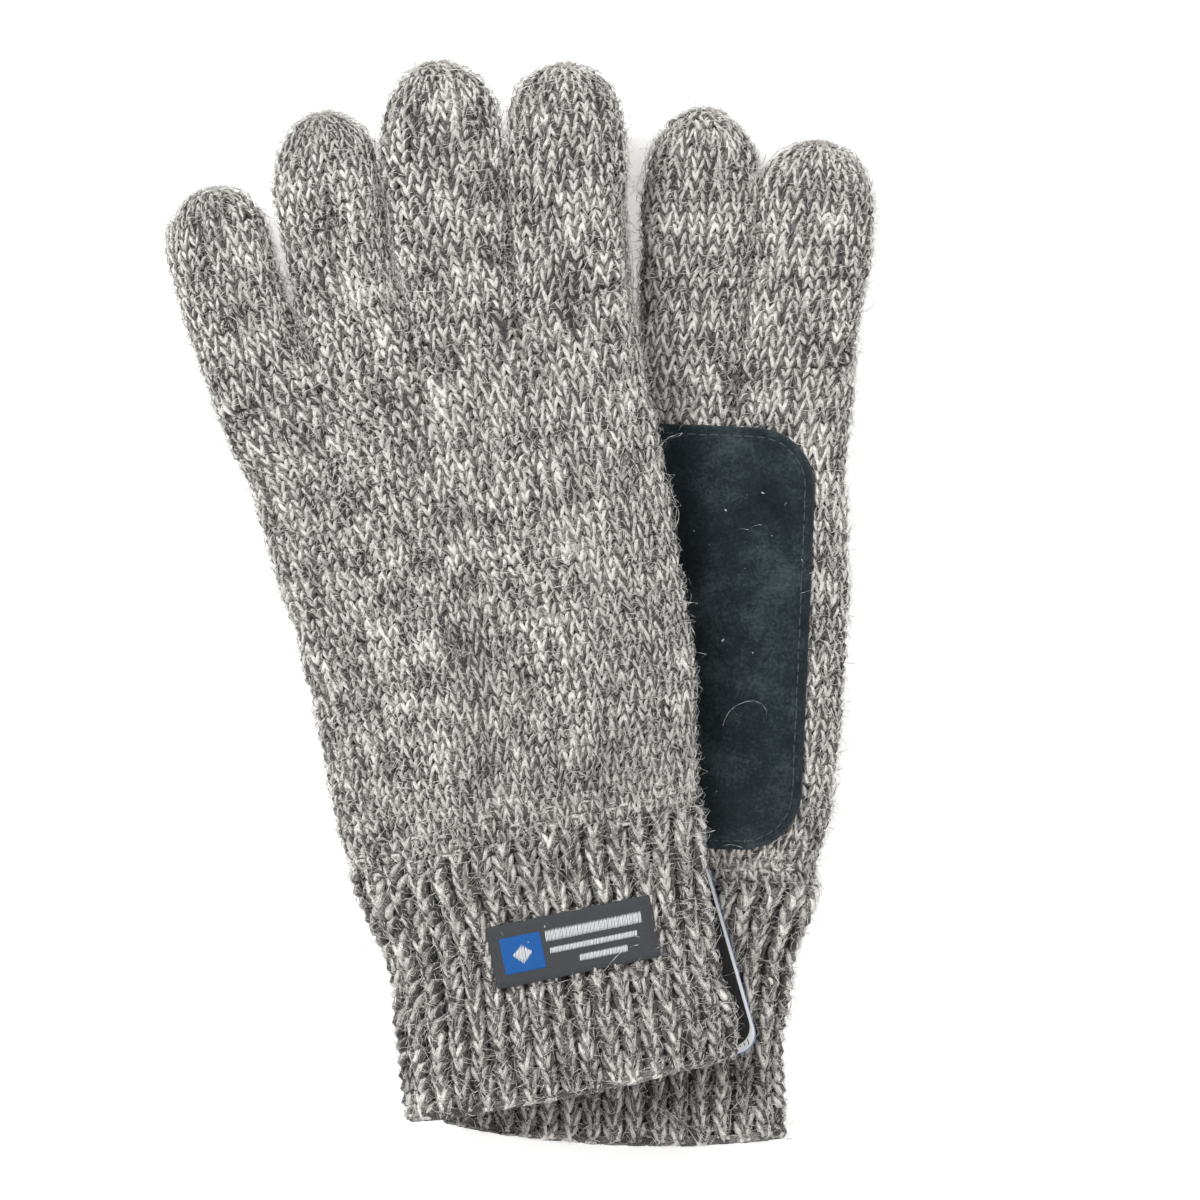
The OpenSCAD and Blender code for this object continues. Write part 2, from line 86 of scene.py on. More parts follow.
# Knit gauge: stitch width and height, and the wales round each tube
WALE, COURSE = 3.7, 2.8
HAND_WALES, FINGER_WALES, THUMB_WALES = 60, 20, 18
RIBS, RIB_COURSE, RIB_HEIGHT = 32, 3.3, 1.1
# How deep the stitches, the cloth behind them and the lining lie in the skin
STITCH_SINK, CLOTH_OUT, CLOTH_IN = -0.75, -0.75, -2.0
LINING_OUT, LINING_IN = -2.4, -3.4
# How far the hem hangs down in its middle
HEM_DROP = {"right": 3.2, "left": 1.2}
# Palm patch and label: place on the glove, size and corner
PATCH_LOW, PATCH_SIDE, PATCH_W, PATCH_H, PATCH_R = 73.0, 43.2, 72.0, 107.0, 15.0
PATCH_MIDDLE = (PATCH_SIDE - PATCH_W / 2, PATCH_LOW + PATCH_H / 2)
SEAM_INSET, SEAM_PITCH = 2.4, 2.9
LABEL_AT, LABEL_W, LABEL_H, LABEL_R = (6.2, 37.0), 42.0, 15.8, 0.6
BLOCK_AT, BLOCK_W, BLOCK_H = (-13.0, -0.2), 10.4, 9.2
# The cards' pin on the left glove, and how far the cards hang askew
TAG_PIN = np.array([21.2, 46.7])
TAG_TURN = math.radians(4.5)
CARD_R, HOLE_R = 5, 1.4
TAG_Z, PRICE_Z = HAND_T - 0.3, HAND_T - 1.0


# ---------------------------------------------------------------- camera, first of all
def add_camera():
    """Straight above, as far back as a product camera stands, framing 303 mm across."""
    view_mm, height = 302.6, 1.9
    data = bpy.data.cameras.new("camera")
    data.sensor_width = 36
    data.lens = data.sensor_width * height / (view_mm * MM)
    camera = bpy.data.objects.new("camera", data)
    camera.location = (0.0202, 0.0011, height + 0.02)
    bpy.context.scene.collection.objects.link(camera)
    bpy.context.scene.camera = camera


add_camera()


# ---------------------------------------------------------------- rules of the shape
def ease(t):
    c = np.clip(t, 0, 1)
    return c * c * (3 - 2 * c)


def mix(a, b, t):
    return a + (b - a) * t


def bow(x, power):
    return np.maximum(0, 1 - np.abs(x) ** power) ** (1 / power)


def running(steps):
    """The running total of some steps, from 0."""
    return np.concatenate([[0], np.cumsum(steps)])


def smooth_curve(t, table):
    """A curve through the table's points, with level ends."""
    x, y = np.array(table, float).T
    slope = np.gradient(y, x)
    k = np.clip(np.searchsorted(x, t) - 1, 0, len(x) - 2)
    h = x[k + 1] - x[k]
    q = np.clip((t - x[k]) / h, 0, 1)
    return ((1 + 2 * q) * (1 - q) ** 2 * y[k] + q * (1 - q) ** 2 * h * slope[k]
            + q * q * (3 - 2 * q) * y[k + 1] + q * q * (q - 1) * h * slope[k + 1])


def little_edge(t):
    return -smooth_curve(t, LITTLE_EDGE)


def thumb_edge(t, side):
    return smooth_curve(t, THUMB_EDGE[side])


def past_cuff(t):
    """0 on the cuff and 1 where the hand has its full thickness."""
    return ease((t - CUFF_LEN) / 32)


def half_t(t):
    return mix(CUFF_T, HAND_T, past_cuff(t)) / 2


def row_slope(t):
    return KNUCKLE_SLOPE * ease((t - KNUCKLE_AT + 70) / 70)


def lift(u, v):
    """How far the tucked thumb lifts the hand, from 0 to 1."""
    return (ease((u - THUMB_SIDE + 38) / 30) * ease((v - THUMB_AT + 40) / 30)
            * ease((THUMB_AT + THUMB_LEN + 22 - v) / 36))


def foot(f):
    return FINGER_W[f] / 2 + sum(FINGER_W[:f]) - sum(FINGER_W) / 2 + KNUCKLE_SHIFT


def boxiness(v):
    """0 on the palm and 1 at the knuckles."""
    return ease((v - KNUCKLE_AT + 36) / 36)


def hand_bow(x, v):
    """Height of the hand's section: boxier towards the knuckles."""
    return mix(bow(x, SOFT), bow(x, BOXY), boxiness(v))


def tip_dome(q):
    """Share of its full width that a stall has at a share of its length."""
    return bow(np.clip((q - TIP_START) / (1 - TIP_START), 0, 1), TIP_POWER)


def section(theta, power):
    """A unit superellipse: across and up, for an angle from the thumb side over the top."""
    c, s = np.cos(theta), np.sin(theta)
    return np.sign(c) * np.abs(c) ** (2 / power), np.sign(s) * np.abs(s) ** (2 / power)


def way_round(a, b, power):
    """Angles round a section, its coordinates there, and the share of the way round."""
    theta = np.linspace(0, 2 * math.pi, 1441)
    c, s = section(theta, power)
    way = running(np.hypot(np.diff(a * c), np.diff(b * s)))
    return theta, c, s, way / way[-1]


def even_angles(a, b, power):
    """The angle at a share of the way round, so that stitches keep one width."""
    theta, _, _, way = way_round(a, b, power)
    return lambda phi: np.interp(phi % 1.0, way, theta)


def even_section(a, b, power):
    """The section's own points, spread evenly round it."""
    _, c, s, way = way_round(a, b, power)
    return lambda phi: [np.interp(phi % 1.0, way, x) for x in (c, s)]


class Glove:
    """One glove's place in the pair. Its own axes are across (to the thumb), along and up."""

    def __init__(self, side):
        mount = next(m for m in frame["record"]["mounts"] if m["name"] == side + "_cuff_mouth")
        self.side = side
        self.hem = np.array(mount["pos_m"][:2]) / MM
        self.turn = math.atan2(mount["axis"][0], -mount["axis"][1])
        self.palm = 1 if side == "right" else -1
        self.lift_h = THUMB_T + 0.6 + (0 if side == "right" else PATCH_T + PATCH_GAP + LAYER_GAP)

    def to_pair(self, u, v):
        c, s = math.cos(self.turn), math.sin(self.turn)
        return self.hem[0] + u * c - v * s, self.hem[1] + u * s + v * c

    def to_glove(self, x, y):
        c, s = math.cos(self.turn), math.sin(self.turn)
        dx, dy = x - self.hem[0], y - self.hem[1]
        return dx * c + dy * s, dy * c - dx * s

    def ground(self, u, v):
        if self.side == "right":
            return (LABEL_T + 2 * LAYER_GAP + 0.6) * (1 - past_cuff(v))
        a, b = RIGHT.to_glove(*self.to_pair(u, v))
        edge = little_edge(b) - 3 * ease((b - KNUCKLE_AT) / 8)
        return (HAND_T + PAIR_GAP) * ease((a - edge + 38) / 42) + RIGHT.lift_h * lift(a, b)

    def point(self, u, v, w, lifted=1):
        x, y = self.to_pair(u, v)
        return np.stack([x, y, self.ground(u, v) + lifted * self.lift_h * lift(u, v) + w], -1)

    def skin(self, u, v, face, out):
        """A point on the hand's or cuff's upper (face 1) or lower (-1) side, moved out."""
        lo, hi = little_edge(v), thumb_edge(v, self.side)
        b = half_t(v)
        across = np.clip((u - (lo + hi) / 2) / ((hi - lo) / 2), -0.995, 0.995)
        place = self.point(u, v, b + face * (b * hand_bow(across, v) + out))
        place[..., 2] = np.maximum(place[..., 2], 0.02)
        return place


RIGHT = Glove("right")
LEFT = Glove("left")


LUMP_HEIGHT = 0.11


class Tube:
    """A knitted tube. place(phi, s) gives points: phi goes once round, s runs along in mm."""

    def __init__(self, wales, length, place, seed, start=0.0, reach=None):
        self.wales, self.length, self.place, self.start = wales, length, place, start
        self.reach = reach or (0.1, length - 0.05)
        rng = np.random.default_rng(seed)
        self.waves = [(rng.integers(-3, 4), rng.uniform(0.12, 0.42), rng.uniform(0, 6.3))
                      for _ in range(7)]

    def lumps(self, phi, s):
        """Slow unevenness of the cloth."""
        total = 0
        for around, along, phase in self.waves:
            total = total + np.sin(2 * math.pi * around * phi + along * s + phase)
        return total * LUMP_HEIGHT

    def shell(self, phi, s):
        """Point, outward normal and length of the way round, at each place."""
        step_phi, step_s = 0.002, 0.25
        p = self.place(phi, s)
        d_phi = self.place(phi + step_phi, s) - self.place(phi - step_phi, s)
        d_s = self.place(phi, s + step_s) - self.place(phi, s - step_s)
        n = np.cross(d_s, d_phi)
        n /= np.maximum(np.linalg.norm(n, axis=-1, keepdims=True), 1e-9)
        return p, n, np.linalg.norm(d_phi, axis=-1) / (2 * step_phi)


def hand_tube(glove, cuff=False):
    """The hand, or the cuff below it, which share their edges and thickness."""
    angles = even_angles(PALM_HALF_W, PALM_HALF_T, SOFT)
    boxy = even_section(PALM_HALF_W, PALM_HALF_T, BOXY)

    def place(phi, s):
        lo, hi, b = little_edge(s), thumb_edge(s, glove.side), half_t(s)
        c, w = section(angles(phi), SOFT)
        if not cuff:
            c = mix(c, boxy(phi)[0], boxiness(s))
        u = (lo + hi) / 2 + (hi - lo) / 2 * c
        if not cuff:
            w = np.sign(w) * hand_bow(c, s)
            crease = sum(np.exp(-((u - foot(f) - FINGER_W[f] / 2) / 2.4) ** 2) for f in range(3))
            w = w * (1 - 0.75 * crease * ease((s - KNUCKLE_AT + 27) / 27))
            # The palm bulges over the rib, with a groove between them
            swell, nip = (0.24, 0.50) if glove.side == "right" else (0.06, 0.16)
            w = w * (1 + swell * np.exp(-((s - CUFF_LEN - 8) / 5) ** 2)
                     - nip * np.exp(-((s - CUFF_LEN) / 2.4) ** 2))
        drop = (HEM_DROP[glove.side] * (1 - c * c) * ease(1 - s / 30)) if cuff else 0
        return glove.point(u, s + row_slope(s) * u - drop, b + b * w)

    if cuff:
        return Tube(RIBS, CUFF_LEN + 1.5, place, 11)
    return Tube(HAND_WALES, KNUCKLE_AT + 0.6, place, 12, CUFF_LEN,
                (CUFF_LEN - 2.2, KNUCKLE_AT + 2.4))


def finger_tube(glove, f):
    lean = math.tan(math.radians(FINGER_LEAN[glove.side][f]))
    half, length = (FINGER_W[f] - FINGER_GAP) / 2, FINGER_LEN[f]
    share = np.linspace(0, 1, 400)
    radius = (half + HAND_T / 2) / 2
    way = running(np.hypot(np.diff(share * length), np.diff(radius * tip_dome(share))))
    boxy, round_ = even_section(half, HAND_T / 2, 4.2), even_angles(half, HAND_T / 2, 2.4)

    def place(phi, s):
        q = np.interp(s, way, share) + np.minimum(s, 0) / length
        d = tip_dome(q) * (1 + 0.02 * np.sin(q * 9 + f))
        near = 1 - ease(q / 0.35)
        (c0, w0), (c1, w1) = boxy(phi), section(round_(phi), 2.4)
        c, w = mix(c1, c0, near), mix(w1, w0, near)
        low, high = PLUMP[glove.side][f]
        stand = ease((q - 0.02) / 0.4) * (1 - 0.4 * ease((q - 0.7) / 0.3))
        side = foot(f) + lean * length * q + (high - low) / 2 * stand
        du = (half + (high + low) / 2 * stand) * d * c
        v = (KNUCKLE_AT + KNUCKLE_SLOPE * foot(f) + length * q
             + mix(KNUCKLE_SLOPE, -lean, np.clip(q, 0, 1)) * du
             + (side - foot(f)) * KNUCKLE_SLOPE * (1 - q))
        return glove.point(side + du, v, HAND_T / 2 * (1 + d * w) - 1.2 * ease((q - 0.5) / 0.5))

    return Tube(FINGER_WALES, way[-1], place, 20 + f, 0.0, (-2.4, way[-1] - 0.05))


def thumb_tube(glove):
    share = np.linspace(-1, 1, 800)
    root = lambda q: bow(np.clip((-q - 0.25) / 0.75, 0, 1), TIP_POWER)
    dome = lambda q: np.where(q < 0, root(q), tip_dome(q))
    along = np.where(share < 0, share * THUMB_BACK, share * THUMB_LEN)
    radius = (THUMB_W + THUMB_T) / 4
    way = running(np.hypot(np.diff(along), np.diff(radius * dome(share))))
    angles = even_angles(THUMB_W / 2, THUMB_T / 2, 2.6)

    def place(phi, s):
        q = np.interp(s, way, share)
        d = dome(q)
        c, w = section(angles(phi), 2.6)
        v = THUMB_AT + np.where(q < 0, q * THUMB_BACK, q * THUMB_LEN)
        return glove.point(THUMB_SIDE + THUMB_W / 2 * d * c, v, THUMB_T / 2 * (1 + d * w), 0)

    return Tube(THUMB_WALES, way[-1], place, 30)


# ---------------------------------------------------------------- meshes from arrays
def add_mesh(name, verts, loops, totals, material, uvs=None, smooth=True):
    """A mesh object from points in mm, face corners and corners per face."""
    me = bpy.data.meshes.new(name)
    me.vertices.add(len(verts))
    me.vertices.foreach_set("co", np.asarray(verts * MM, np.float32).ravel())
    me.loops.add(len(loops))
    me.loops.foreach_set("vertex_index", np.asarray(loops, np.int32))
    me.polygons.add(len(totals))
    me.polygons.foreach_set("loop_start", np.asarray(running(totals[:-1]), np.int32))
    me.polygons.foreach_set("loop_total", np.asarray(totals, np.int32))
    me.polygons.foreach_set("use_smooth", np.full(len(totals), smooth))
    for key, uv in (uvs or {}).items():
        me.uv_layers.new(name=key, do_init=False).uv.foreach_set(
            "vector", np.asarray(uv, np.float32).ravel())
    me.update(calc_edges=True)
    me.validate()
    ob = bpy.data.objects.new(name, me)
    bpy.context.scene.collection.objects.link(ob)
    ob.data.materials.append(material)
    return ob


class Template:
    """A short tapered strand along a path, as points, face corners and a map of its skin."""

    def __init__(self, path, widths, heights, sides):
        path = np.array(path, float)
        n = len(path)
        run = np.gradient(path, axis=0)
        run /= np.linalg.norm(run, axis=1, keepdims=True)
        side = np.stack([run[:, 1], -run[:, 0], np.zeros(n)], 1)
        side /= np.linalg.norm(side, axis=1, keepdims=True)
        up = np.cross(side, run)
        turn = (np.arange(sides) / sides * 2 * math.pi)[None, :, None]
        wide, high = np.array(widths)[:, None, None], np.array(heights)[:, None, None]
        rings = (path[:, None] + side[:, None] * (np.cos(turn) * wide)
                 + up[:, None] * (np.sin(turn) * high))
        self.verts = np.concatenate([rings.reshape(-1, 3), path[:1] - run[:1] * widths[0] * 0.6,
                                     path[-1:] + run[-1:] * widths[-1] * 0.6])
        length = running(np.linalg.norm(np.diff(path, axis=0), axis=1))
        loops, totals, uv, cell = [], [], [], []
        for k in range(n - 1):
            for i in range(sides):
                j = (i + 1) % sides
                loops += [k * sides + i, k * sides + j, (k + 1) * sides + j, (k + 1) * sides + i]
                totals.append(4)
                for kk, ii in ((k, i), (k, i + 1), (k + 1, i + 1), (k + 1, i)):
                    uv.append((length[kk], ii / sides))
                    cell.append(((kk + 1) / (n + 1), ii / sides))
        for end, k, pole in ((0, 0, n * sides), (1, n - 1, n * sides + 1)):
            for i in range(sides):
                j = (i + 1) % sides
                ring = [(k * sides + j, i + 1), (k * sides + i, i)] if end == 0 else [
                    (k * sides + i, i), (k * sides + j, i + 1)]
                loops += [ring[0][0], ring[1][0], pole]
                totals.append(3)
                for _, ii in ring:
                    uv.append((length[k], ii / sides))
                    cell.append(((k + 1) / (n + 1), ii / sides))
                uv.append((length[k], (i + 0.5) / sides))
                cell.append((float(end), (i + 0.5) / sides))
        self.loops, self.totals = np.array(loops), np.array(totals)
        self.uv, self.cell = np.array(uv), np.array(cell)
        self.order = running(totals)


def two_plies(path, radius, spread, sides=4):
    """A strand of two plies side by side, their tops swapping along the way."""
    path = np.array(path, float)
    run = np.gradient(path, axis=0)
    side = np.stack([run[:, 1], -run[:, 0], np.zeros(len(path))], 1)
    side /= np.linalg.norm(side, axis=1, keepdims=True)
    turn = np.linspace(-0.9, 0.9, len(path))[:, None]
    made = []
    for sign in (-1, 1):
        offset = (side * np.cos(turn) * sign * spread
                  + np.array([[0, 0, 1]]) * np.sin(turn) * sign * spread)
        made.append(Template(path + offset, radius, np.array(radius) * 0.92, sides))
    return made


# A leg of a knit stitch, and a purl bump, as (across, along, up)
LEG = two_plies([(0.12, -1.85, -0.30), (0.62, -0.70, 0.62), (1.22, 0.62, 0.66), (1.66, 1.80, -0.35)],
                (0.34, 0.57, 0.59, 0.34), 0.42)
BUMP = two_plies([(-1.9, -0.45, -0.7), (-0.8, 0.2, 0.5), (0.8, 0.2, 0.5), (1.9, -0.45, -0.7)],
                 (0.34, 0.52, 0.52, 0.34), 0.36)


class Yarn:
    """Collects strands on tubes and makes one mesh of them."""

    def __init__(self, seed):
        self.rng = np.random.default_rng(seed)
        self.parts = []

    def lay(self, tube, template, phi, s, mirror, wales, course=COURSE, out=0.0, inward=False,
            size=1.0, rib=None, dark=False):
        """One strand at each place (phi, s), bent to the tube's surface."""
        rng, n = self.rng, len(phi)
        # dark=True leaves out the pale ply, so the whole strand is dark: painted shade for strands
        # that lie in hollows
        pale = rng.integers(0, 2, n) + 9 * dark
        turn, grow, longer, shift_a, shift_b, shift_h = (
            rng.normal(m, d, n)[:, None] for m, d in
            ((0, 0.075), (1, 0.07), (1, 0.06), (0, 0.12), (0, 0.13), (0, 0.07)))
        grow = grow * size
        s = np.broadcast_to(s, n)[:, None]
        for k, ply in enumerate(template):
            t = ply.verts
            a = t[None, :, 0] * mirror * grow
            b = t[None, :, 1] * grow * longer
            a, b = (a * np.cos(turn) - b * np.sin(turn) + shift_a,
                    a * np.sin(turn) + b * np.cos(turn) + shift_b)
            p = phi[:, None] + a / WALE / wales
            q = np.clip(s + b * (course / COURSE), *tube.reach)
            place, normal, round_way = tube.shell(p, q)
            h = t[None, :, 2] * grow * np.clip((round_way / wales) / WALE, 0.3, 1.15) + shift_h
            h = out + tube.lumps(p, q) + (-h if inward else h)
            if rib is not None:
                h = h + rib(p)
            verts = place + normal * h[..., None]
            verts[..., 2] = np.maximum(verts[..., 2], 0.03)
            self.parts.append((ply, verts, np.full(n, (mirror < 0) != inward), pale == k))

    def strands(self, path, radius, sides):
        """Tapered strands along paths of shape (strands, rings + 1, 3)."""
        self.parts.append((strand_template(path.shape[1] - 1, sides),
                           strand_points(path, radius, sides), np.zeros(len(path), bool)))

    def mesh(self, name, material):
        """One mesh of all the strands, with a yarn map and a cell of its own for each."""
        verts, loops, totals, uvs, cells = [], [], [], [], []
        start, count = 0, sum(len(part[1]) for part in self.parts)
        across = int(math.ceil(math.sqrt(count * 0.5)))
        down = int(math.ceil(count / across))
        done = 0
        for template, places, flip, *pale in self.parts:
            n, m = places.shape[:2]
            verts.append(places.reshape(-1, 3))
            phase = self.rng.uniform(0, 40, n)
            back = reversed_corners(template)
            index = np.where(flip[:, None], back[None, :], np.arange(len(template.loops))[None, :])
            loops.append((template.loops[index] + (start + np.arange(n) * m)[:, None]).ravel())
            totals.append(np.tile(template.totals, n))
            uv = template.uv[index].copy()
            uv[..., 0] += phase[:, None]
            uv[..., 1] += 2.0 * (pale[0] if pale else np.zeros(n))[:, None]
            uvs.append(uv.reshape(-1, 2))
            cell = template.cell[index] * 0.86 + 0.07
            spot = done + np.arange(n)
            cell[..., 0] = (cell[..., 0] + (spot % across)[:, None]) / across
            cell[..., 1] = (cell[..., 1] + (spot // across)[:, None]) / down
            cells.append(cell.reshape(-1, 2))
            start += n * m
            done += n
        return add_mesh(name, np.concatenate(verts), np.concatenate(loops), np.concatenate(totals),
                        material, {"yarn": np.concatenate(uvs), "OFBake": np.concatenate(cells)})


def reversed_corners(template):
    """Corner order that turns every face of a template round."""
    if not hasattr(template, "back"):
        template.back = np.concatenate([np.arange(a, b)[::-1] for a, b in
                                        zip(template.order[:-1], template.order[1:])])
    return template.back


def ring_quads(a, b, m):
    """Faces between two rings of m points that start at a and at b."""
    i = np.arange(m)
    j = (i + 1) % m
    return np.stack([a + i, a + j, b + j, b + i], 1)


def grid_tube(tube, s_values, n_round, outer, inner):
    """A closed solid between two offsets of a tube: points, corners, totals."""
    P, S = np.meshgrid(np.arange(n_round) / n_round, s_values)
    p, n, _ = tube.shell(P, S)
    bend = tube.lumps(P, S)
    layers = []
    for offset in (outer, inner):
        h = bend + (offset(P) if callable(offset) else offset)
        layers.append(p + n * h[..., None])
        layers[-1][..., 2] = np.maximum(layers[-1][..., 2], 0.05)
    verts = np.concatenate([layer.reshape(-1, 3) for layer in layers])
    rows, m = len(s_values), n_round
    quads = []
    for r in range(rows - 1):
        quads += [ring_quads(r * m, (r + 1) * m, m)[:, ::-1],
                  ring_quads((rows + r) * m, (rows + r + 1) * m, m)]
    quads += [ring_quads(0, rows * m, m),
              ring_quads((rows - 1) * m, (2 * rows - 1) * m, m)[:, ::-1]]
    quads = np.concatenate(quads)
    return verts, quads.ravel(), np.full(len(quads), 4)


# ---------------------------------------------------------------- materials
class Material:
    """A principled material, with short ways to add and wire its nodes."""

    def __init__(self, name, roughness, specular=None, sheen=None, sheen_roughness=None):
        self.mat = bpy.data.materials.new(name)
        self.mat.use_nodes = True
        self.tree = self.mat.node_tree
        self.shader = self.tree.nodes["Principled BSDF"]
        for key, value in (("Roughness", roughness), ("Specular IOR Level", specular),
                           ("Sheen Weight", sheen), ("Sheen Roughness", sheen_roughness)):
            if value is not None:
                self.shader.inputs[key].default_value = value

    def node(self, kind, vector=None, **values):
        made = self.tree.nodes.new("ShaderNode" + kind)
        for key, value in values.items():
            if key in made.inputs:
                made.inputs[key].default_value = value
            else:
                setattr(made, key, value)
        if vector is not None:
            self.tree.links.new(vector, made.inputs["Vector"])
        return made

    def uv(self, name):
        """A map's vector, and its two coordinates."""
        uv = self.node("UVMap", uv_map=name).outputs[0]
        return uv, *self.node("SeparateXYZ", uv).outputs[:2]

    def place(self):
        return self.node("TexCoord").outputs["Object"]

    def noise(self, vector, **values):
        return self.node("TexNoise", vector, **values).outputs[0]

    def math(self, operation, a, b=None):
        made = self.node("Math", operation=operation)
        for socket, value in zip(made.inputs, (a, b)):
            if isinstance(value, (int, float)):
                socket.default_value = value
            elif value is not None:
                self.tree.links.new(value, socket)
        return made.outputs[0]

    def ramp(self, value, stops):
        made = self.node("ValToRGB")
        ramp = made.color_ramp
        while len(ramp.elements) < len(stops):
            ramp.elements.new(0.5)
        for element, (at, colour) in zip(ramp.elements, stops):
            element.position = at
            element.color = (*colour, 1)
        self.tree.links.new(value, made.inputs[0])
        return made.outputs[0]

    def finish(self, colour, height=None, strength=0.0, distance=0.0):
        """Wire the colour and, from a height, the bump. Gives the material itself."""
        self.tree.links.new(colour, self.shader.inputs["Base Color"])
        if height is not None:
            bump = self.node("Bump", Strength=strength, Distance=distance)
            self.tree.links.new(height, bump.inputs["Height"])
            self.tree.links.new(bump.outputs[0], self.shader.inputs["Normal"])
        return self.mat


def yarn_material(name, tone=0.0):
    """Marled wool: a pale and a dark ply twisted together, with loose fibres."""
    m = Material(name, 0.92, 0.2, 0.25, 0.6)
    uv, _, around = m.uv("yarn")
    ply = m.math("GREATER_THAN", around, 1.5)
    stretched = m.node("Mapping", uv, Scale=(0.35, 20.0, 1.0)).outputs[0]
    fibre = m.noise(stretched, Scale=1.0, Detail=4.0, Roughness=0.7)
    patches = m.noise(m.place(), Scale=130.0, Detail=3.0, Roughness=0.6)
    fine = m.noise(m.place(), Scale=2600.0, Detail=2.0, Roughness=0.6)
    value = m.math("MULTIPLY", ply, 0.34)
    for source, weight in ((fibre, 1.1), (patches, 1.1), (fine, 0.7)):
        part = m.math("MULTIPLY", m.math("SUBTRACT", source, 0.5), weight)
        value = m.math("ADD", value, part)
    colour = m.ramp(m.math("ADD", value, 0.34 + tone), [
        (0.0, (0.018, 0.017, 0.016)), (0.28, (0.056, 0.053, 0.050)), (0.47, (0.20, 0.191, 0.180)),
        (0.65, (0.64, 0.612, 0.575)), (0.85, (0.96, 0.93, 0.885))])
    return m.finish(colour, fibre, 0.7, 0.0003)


def noisy_material(name, dark, light, scale, rough=0.9, bump=0.4, sheen=0.0, distance=0.0003):
    """Cloth or board whose colour wanders between two tones."""
    m = Material(name, rough, 0.25, sheen)
    noise = m.noise(m.place(), Scale=scale, Detail=6.0, Roughness=0.65)
    return m.finish(m.ramp(noise, [(0.3, dark), (0.7, light)]), noise, bump, distance)


def fibre_material():
    """Loose hairs, each with its own tone from dark grey to cream."""
    m = Material("loose_fibres", 0.8, 0.3)
    tone = m.noise(m.uv("yarn")[0], noise_dimensions="2D", Scale=0.9, Detail=2.0)
    return m.finish(m.ramp(tone, [(0.30, (0.06, 0.058, 0.055)), (0.43, (0.33, 0.317, 0.30)),
                                  (0.56, (0.93, 0.90, 0.86))]))


def suede_material():
    """Brushed dark suede: clouded nap, fine grain, a few pale specks of lint."""
    m = Material("dark_suede", 0.95, 0.15, 0.12, 0.5)
    cloud = m.noise(m.place(), Scale=70.0, Detail=4.0, Roughness=0.6)
    nap = m.noise(m.place(), Scale=1100.0, Detail=5.0, Roughness=0.75)
    lint = m.noise(m.place(), Scale=620.0, Detail=1.0, Roughness=0.5)
    value = m.math("ADD", m.math("MULTIPLY", cloud, 0.55), m.math("MULTIPLY", nap, 0.45))
    colour = m.ramp(value, [(0.34, (0.003, 0.006, 0.008)), (0.50, (0.014, 0.022, 0.027)),
                            (0.64, (0.050, 0.066, 0.074))])
    blend = m.node("Mix", data_type="RGBA")
    m.tree.links.new(m.ramp(lint, [(0.79, (0, 0, 0)), (0.81, (1, 1, 1))]), blend.inputs["Factor"])
    m.tree.links.new(colour, blend.inputs["A"])
    blend.inputs["B"].default_value = (0.5, 0.5, 0.48, 1)
    colour = next(o for o in blend.outputs if o.type == "RGBA")
    return m.finish(colour, nap, 0.6, 0.0002)


def woven_material(name, dark, light, pitch=0.38):
    """Fine weave that follows the sheet's own map, in millimetres."""
    m = Material(name, 0.7, 0.3, 0.1)
    uv, x, y = m.uv("sheet")
    k = 2 * math.pi / pitch
    warp, weft = (m.math("SINE", m.math("MULTIPLY", way, k)) for way in (x, y))
    weave = m.math("MULTIPLY", warp, weft)
    value = m.math("ADD", m.math("MULTIPLY", weave, 0.22), m.noise(uv, Scale=2.5, Detail=3.0))
    return m.finish(m.ramp(value, [(0.2, dark), (0.8, light)]), weave, 0.5, 0.0001)


def printed_card():
    """White board with a plain ruled block near its lower corner."""
    m = Material("price_board", 0.45)
    _, x, y = m.uv("sheet")
    slow, fast = (m.math("SINE", m.math("MULTIPLY", x, k)) for k in (5.1, 11.7))
    mask = m.math("GREATER_THAN", m.math("ADD", slow, fast), 0.35)
    for way, low, high in ((y, 1.6, 13.0), (x, 4.0, 33.6)):
        inside = m.math("MULTIPLY", m.math("GREATER_THAN", way, low), m.math("LESS_THAN", way, high))
        mask = m.math("MULTIPLY", mask, inside)
    noise = m.node("TexNoise", Scale=900.0, Detail=3.0).outputs[0]
    board = m.math("ADD", 0.92, m.math("MULTIPLY", noise, 0.06))
    value = m.math("SUBTRACT", board, m.math("MULTIPLY", mask, 0.75))
    return m.finish(m.ramp(value, [(0.1, (0.03, 0.03, 0.035)), (0.95, (0.84, 0.85, 0.86))]))


KNIT = yarn_material("marled_knit")
RIB = yarn_material("marled_rib", -0.05)
# The cloth behind the stitches: its near-black colour is partly its own and partly painted shade in
# the gaps between stitches
CLOTH_PAINTED_SHADE = noisy_material("knit_cloth_painted_shade", (0.016, 0.015, 0.015), (0.075, 0.072, 0.068), 900)
FLEECE = noisy_material("fleece_lining", (0.055, 0.057, 0.062), (0.13, 0.135, 0.145), 500, sheen=0.3)
FUZZ = fibre_material()
SUEDE = suede_material()
THREAD = noisy_material("grey_thread", (0.035, 0.042, 0.047), (0.10, 0.11, 0.115), 1800)
SATIN = woven_material("label_ground", (0.034, 0.037, 0.041), (0.062, 0.066, 0.072))
BLUE = woven_material("label_blue", (0.003, 0.060, 0.24), (0.010, 0.125, 0.42), 0.5)
WHITE = noisy_material("label_white_floats", (0.60, 0.61, 0.62), (0.86, 0.87, 0.88), 2500, bump=0.3)


# ---------------------------------------------------------------- the knit
def rows_on(first, last, course):
    """Evenly spaced rows that fill a stretch of a tube."""
    n = max(1, int(round((last - first) / course)))
    return first + (np.arange(n) + 0.5) * (last - first) / n


